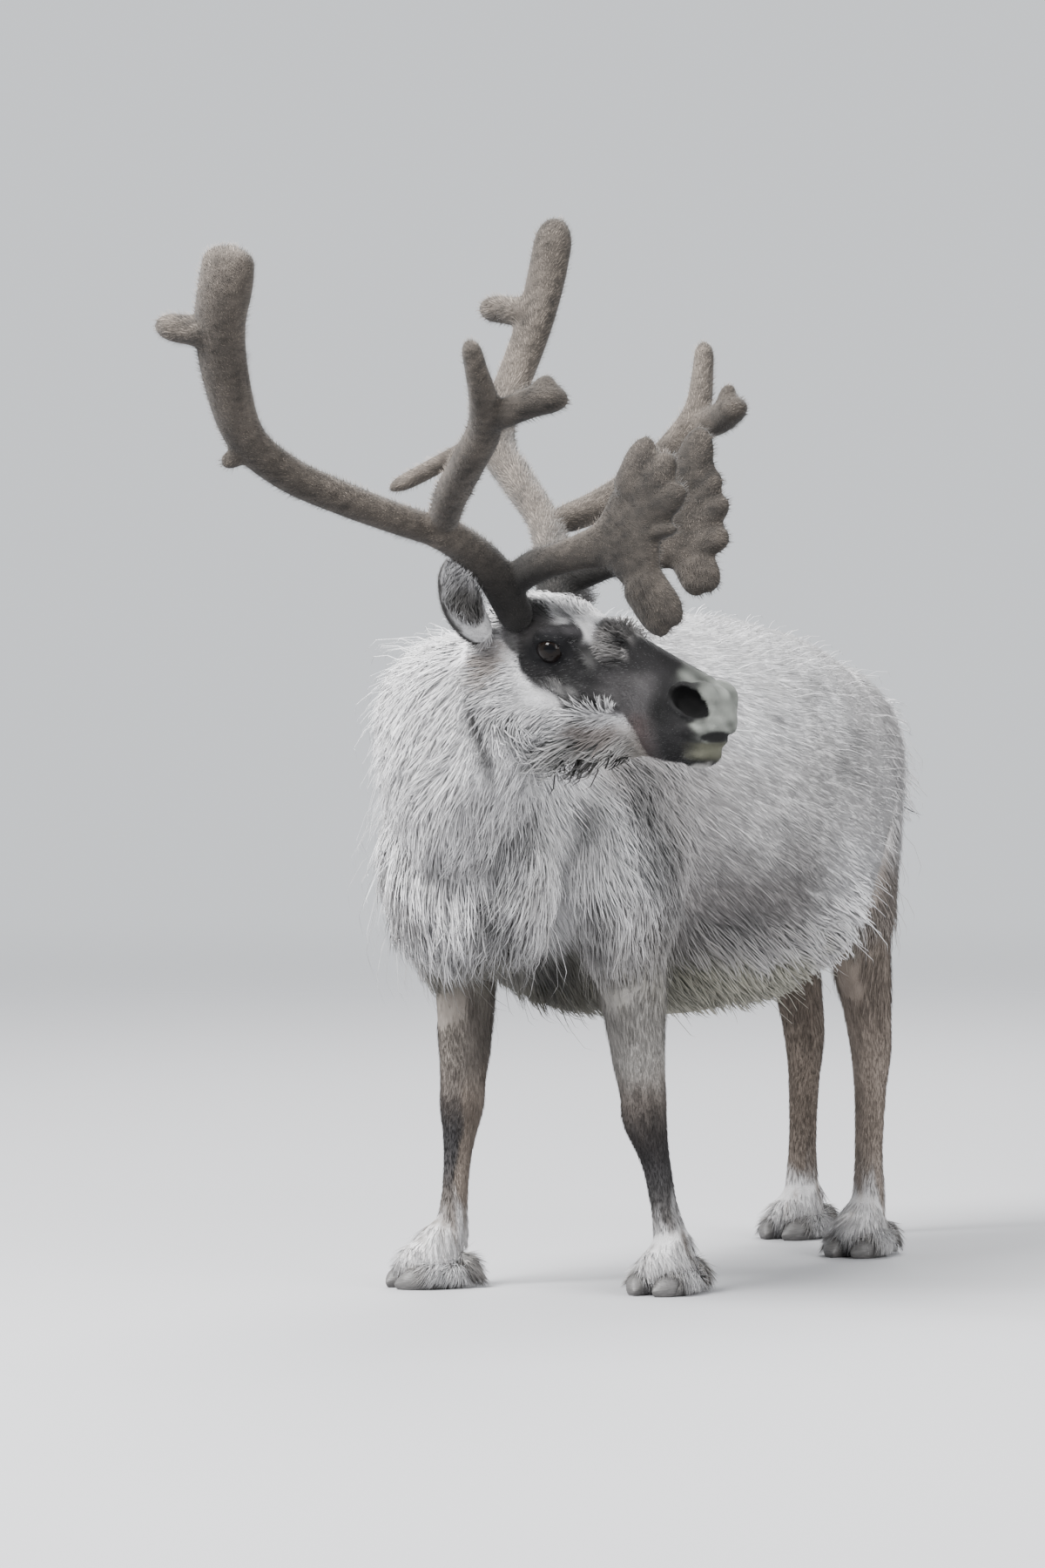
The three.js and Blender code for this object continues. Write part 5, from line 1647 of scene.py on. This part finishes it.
def branch(rows, side, over, blunt):
    """A form from rows of back, outward, up measured from one pedicle."""
    forward, outward, above = PEDICLE
    turned = [[forward - back, side * (outward + out), above + up, *size] for back, out, up, *size in rows]
    return Form(turned, over=over, blunt=blunt, inset=VELVET_INSET, **HEAD)


def palm_lobe(lobe, side):
    """A finger of the palm: from near its middle out to the lobe's centre and one radius past it."""
    forward, up, radius = lobe
    back, out, middle = PALM_MIDDLE
    ahead, above = forward + back, up - middle
    reach = np.hypot(ahead, above)
    rows = [
        [back - ahead * r, out + 3 * r, middle + above * r, radius * (1.5 - 0.5 * r), PALM_THICKNESS]
        for r in (LOBE_ROOT, 0.75, 1.0)
    ]
    rows[2][0] -= radius * ahead / reach
    rows[2][2] += radius * above / reach
    return branch(rows, side, [0, 1, 0], 0.35)


def antler_colour(points, normals, side):
    """Brown velvet, blackish near the head, darker on the palm, and paler above than below as painted light.
    """
    f, l, u = to_head(points).T
    forward, outward, above = PEDICLE
    out = np.linalg.norm(np.stack([f - forward, side * l - outward, u - above], -1), axis=1)
    patch = wander(points, 60, 31, 1)[:, 0]
    fine = wander(points, 12, 32, 1)[:, 0]
    speck = wander(points, 4, 33, 1)[:, 0]
    colour = mix(plain(VELVET_DARK, points), VELVET_PALE, ramp(out + 16 * patch, 45, 170))
    # Painted light: paler where the surface faces up, darker where it faces down.
    colour = colour * (1 + 0.28 * normals[:, 2:])
    palm = ramp(f, 30, 100)
    return colour * ((1.2 - 0.42 * palm) * (1 + 0.18 * patch + 0.16 * fine + 0.2 * speck))[:, None]


# %% The two antlers
for word, side in (("left", 1), ("right", -1)):
    rows = ANTLERS[word]
    forms = {part: branch(rows[part], side, *BRANCHES[part]) for part in BRANCHES}
    forms.update({f"lobe_{k}": palm_lobe(lobe, side) for k, lobe in enumerate(rows["palmLobes"])})
    shape = weld("antler_" + word, [form.grid(64, 24) for form in forms.values()], 3.6, 8)
    COAT.update(dict.fromkeys(forms, VELVET_PILE))
    velvet = Skin(shape, forms, lambda points, normals: antler_colour(points, normals, side))
    velvet.bare = (radii_out(velvet.points, [skull_form]) < 0.97).astype(float)
    piece = make_object("antler_" + word, *shape)
    # The skin under the pile is darker, a painted shade of the pile.
    dress(piece, velvet.colour * 0.8, velvet.points, velvet.normals)
    put_in_frame(piece, VELVET_SKIN)
    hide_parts(*[f"antler_{word}_{part}" for part in ("base", "bez", "beam", "brow")])
    pile = comb(scatter(velvet, COUNTS["velvet"]))
    pile["uv"] = chart(pile, forms, 4)
    pile["tone"] *= rng.uniform(0.3, 1.7, len(pile["tone"]))
    # The tips of the pile are painted pale: a painted rim light at the antler's edges.
    tufts("velvet_" + word, pile, 1, VELVET_HAIR, "antler_velvet", sag=0.0, root_tone=0.55, tip_tone=3.4)

# %% [markdown]
# ## Eyes
# The eye is a ball that fills the lids: dark brown iris, a wide pupil that lies level, and a wet surface
# that bulges a little over both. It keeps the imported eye's centre and size.

# %% Eyes
CORNEA = 1.2
EYE_DARK = [0.006, 0.005, 0.005]
IRIS = [0.006, 0.004, 0.003]
PUPIL = [0.001, 0.001, 0.0015]


def eye_material():
    """The eye's painted colour under a wet surface."""
    material = bpy.data.materials.new("eye")
    material.use_nodes = True
    tree = material.node_tree
    shader = tree.nodes["Principled BSDF"]
    painted = node(tree, "ShaderNodeAttribute", attribute_name="coat")
    tree.links.new(painted.outputs["Color"], shader.inputs["Base Color"])
    shader.inputs["Roughness"].default_value = 0.05
    shader.inputs["IOR"].default_value = 1.33
    shader.inputs["Specular IOR Level"].default_value = 0.28
    return material


EYE = eye_material()
for word, side in (("left", 1), ("right", -1)):
    rings, sides = 28, 48
    polar, around = ball_angles(rings, sides)
    gaze = unit(np.array([0.35, side, 0.0]))
    across = np.cross(gaze, UP)
    bulge = EYE_RADIUS + CORNEA * np.exp(-((polar / 0.5) ** 2))
    ball = (
        np.cos(polar)[..., None] * gaze
        + (np.sin(polar) * np.cos(around))[..., None] * across
        + (np.sin(polar) * np.sin(around))[..., None] * UP
    ) * bulge[..., None]
    poles = np.array([gaze * (EYE_RADIUS + CORNEA), -gaze * EYE_RADIUS])
    local = np.vstack([ball.reshape(-1, 3), poles])
    quads, fans = tube_faces(rings - 1, sides)
    piece = make_object("eye_" + word, from_head(local + [0, side * EYE_SIDE, 0]), quads, fans)
    flat = local - dot(local, gaze)[:, None] * gaze
    wide, tall = flat @ across, flat @ UP
    front = (local @ gaze > 0).astype(float)
    iris = 1 - ramp(np.hypot(wide, tall), 12.5, 14.5)
    pupil = 1 - ramp(np.hypot(wide / 1.5, tall), 4.2, 5.4)
    tone = mix(plain(EYE_DARK, local), IRIS, iris * front)
    tone = mix(tone, PUPIL, pupil * front)
    dress(piece, tone, local, unit(local))
    put_in_frame(piece, EYE)
    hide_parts("eye_" + word)

# %% [markdown]
# ## Hooves
# Each foot has two long claws and two dewclaws of dark horn. Growth bands run across the horn, parallel
# to the hair line. Pale hair grows over the back of each claw and all round the dewclaws.

# %% Claws and dewclaws
HORN_GREY = [0.075, 0.072, 0.07]
FOOT_PALE = [0.26, 0.245, 0.23]
BAND_SCALE = [0.4, 4.0, 3.0]
HAIR_LINE = 31
DEWCLAW_REACH = 30.0
HOOF_LEAN = 1.0
DEWCLAW_LEAN = -0.2
CLAW = [
    [-34, 19, 12, 9, 10, 16], [-20, 20, 13, 15, 21, 20], [14, 21, 12, 18, 23, 20],
    [40, 19, 10, 15, 15, 18], [58, 13, 6, 6, 6, 12],
]
DEWCLAW = [[-26, 18, 42, 8, 9, 9], [-37, 22, 30, 10, 10, 10], [-45, 24, 17, 9, 8, 8], [-48, 25, 8, 4, 4, 3]]


def horn_material():
    """Dark grey horn, its tone and height banded by noise stretched along the strand map."""
    material = hair_material("horn", 0.35, 0.5, 0.0, fineness=0.35, bump=0.35, lay=0.0)
    material.node_tree.nodes["Principled BSDF"].inputs["Specular IOR Level"].default_value = 0.45
    return material


HORN = horn_material()


def claw_hair(part, arrays, form, reach, forward, number):
    """Roots on a claw or dewclaw: none past the hair line, nor low down, and greyer near that line."""
    points = arrays[0]
    hairy = Skin(arrays, {"foot": form}, lambda points, _: plain(WHITE, points))
    hairy.fields["lie"] = plain(forward - [0, 0, 0.9], points)
    hairy.fields["length"] = np.full(len(points), 22.0)
    hairy.fields["form"] = np.full(len(points), number)
    hairy.bare = ((reach > HAIR_LINE) | (points[:, 2] < 12)).astype(float)
    hairy.colour = mix(hairy.colour * 0.8, FOOT_PALE, ramp(reach, 5, 36))
    return comb(scatter(hairy, COUNTS[part]))


hoof_roots = []
for leg, (_, foot, yaw) in LEGS.items():
    axes = foot_axes(yaw)
    standing = {"axes": axes, "origin": np.array([*foot, 0.0])}
    for word, side in (("left", 1), ("right", -1)):
        claw = Form(mirrored_rows(CLAW, side), blunt=0.25, **standing)
        spur = Form(mirrored_rows(DEWCLAW, side), over=[-1, 0, 0], blunt=0.3, **standing)
        for part, form in (("hoof", claw), ("dewclaw", spur)):
            points, quads, fans = form.grid(40, 28)
            points[:, 2] = np.maximum(points[:, 2], 0.0)
            piece = make_object(f"{leg}_{part}_{word}", points, quads, fans)
            local = (points - standing["origin"]) @ axes.T
            shade = 0.8 + 0.4 * ramp(local[:, 0], -20, 60)
            dress(piece, np.array(HORN_GREY) * shade[:, None], local[:, [1, 0, 2]] * BAND_SCALE, local)
            put_in_frame(piece, HORN)
            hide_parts(f"{leg}_{part}_{word}")
            reach, lean = local[:, 0], HOOF_LEAN
            if part == "dewclaw":
                reach, lean = np.full(len(points), DEWCLAW_REACH), DEWCLAW_LEAN
            hair = claw_hair(part, (points, quads, fans), form, reach, axes[0] * lean, len(hoof_roots))
            hoof_roots.append(hair)
foot_hair = {key: np.concatenate([roots[key] for roots in hoof_roots]) for key in hoof_roots[0]}
foot_hair["point"][:, 2] = np.maximum(foot_hair["point"][:, 2], 1)
foot_hair["uv"] = chart(foot_hair, hoof_roots, 4)
tufts("coat_feet", foot_hair, 1, SHORT_HAIR, "pale_coat")
print("claws and dewclaws:", len(hoof_roots))

# %% [markdown]
# ## Floor and light
# The animal stands on a plain grey floor that fades out far away, under soft studio light: a large key
# from the front, a broad fill from the animal's left, one light from behind and a pale sky.

# %% Floor
FLOOR_SIZE = 60
floor_material = bpy.data.materials.new("studio_floor")
floor_material.use_nodes = True
floor_tree = floor_material.node_tree
floor_shader = floor_tree.nodes["Principled BSDF"]
floor_shader.inputs["Base Color"].default_value = (0.30, 0.30, 0.31, 1)
floor_shader.inputs["Roughness"].default_value = 0.9
place = node(floor_tree, "ShaderNodeTexCoord")
away = node(floor_tree, "ShaderNodeVectorMath", operation="LENGTH")
fade = node(floor_tree, "ShaderNodeMapRange", interpolation_type="SMOOTHSTEP")
fade.inputs["From Min"].default_value, fade.inputs["From Max"].default_value = 3.0, 9.0
clear = node(floor_tree, "ShaderNodeBsdfTransparent")
blend = node(floor_tree, "ShaderNodeMixShader")
wire(
    floor_tree,
    (place.outputs["Object"], away.inputs[0]),
    (away.outputs["Value"], fade.inputs["Value"]),
    (fade.outputs["Result"], blend.inputs[0]),
    (floor_shader.outputs[0], blend.inputs[1]),
    (clear.outputs[0], blend.inputs[2]),
    (blend.outputs[0], floor_tree.nodes["Material Output"].inputs["Surface"]),
)
bpy.ops.mesh.primitive_plane_add(size=FLOOR_SIZE)
floor = bpy.context.object
floor.name = "studio_floor"
floor.data.materials.append(floor_material)
floor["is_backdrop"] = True

# %% Lights and world
AIM = np.array([0.0, 0.0, 0.6])


def area_light(name, azimuth, height, distance, size, power):
    """A square light at an azimuth measured like the camera's, aimed at the middle of the animal."""
    data = bpy.data.lights.new(name, "AREA")
    data.size, data.energy = size, power
    light = bpy.data.objects.new(name, data)
    turn = np.radians(azimuth)
    place = np.array([np.sin(turn) * distance, -np.cos(turn) * distance, height])
    light.location = place
    away = unit(place - AIM)
    light.rotation_euler = (np.arccos(away[2]), 0.0, np.arctan2(away[0], -away[1]))
    bpy.context.scene.collection.objects.link(light)


# Azimuth in degrees, then height, distance and size in metres, then power in watts.
LIGHTS = {
    "key": (-20, 5.0, 4.0, 3.0, 1900),
    "fill": (80, 2.8, 5.5, 4.0, 430),
    "back": (200, 4.5, 5.0, 3.0, 600),
}
for name, row in LIGHTS.items():
    area_light(name, *row)
world = bpy.data.worlds.new("studio")
world.use_nodes = True
sky = world.node_tree.nodes["Background"]
sky.inputs["Color"].default_value = (0.93, 0.96, 1.0, 1)
sky.inputs["Strength"].default_value = 1.0
bpy.context.scene.world = world
print("lights:", ", ".join(LIGHTS))

# %% [markdown]
# Hair stands out past the imported solids, so the dressed model's box is larger. Both boxes are printed.

# %% Size of the imported and of the dressed model
visual_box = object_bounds()
plain = {
    "cad": [[float(v) for v in corner] for corner in cad_box],
    "visual": [[float(v) for v in corner] for corner in visual_box],
}
print("packed box", plain["cad"], "dressed box", plain["visual"])
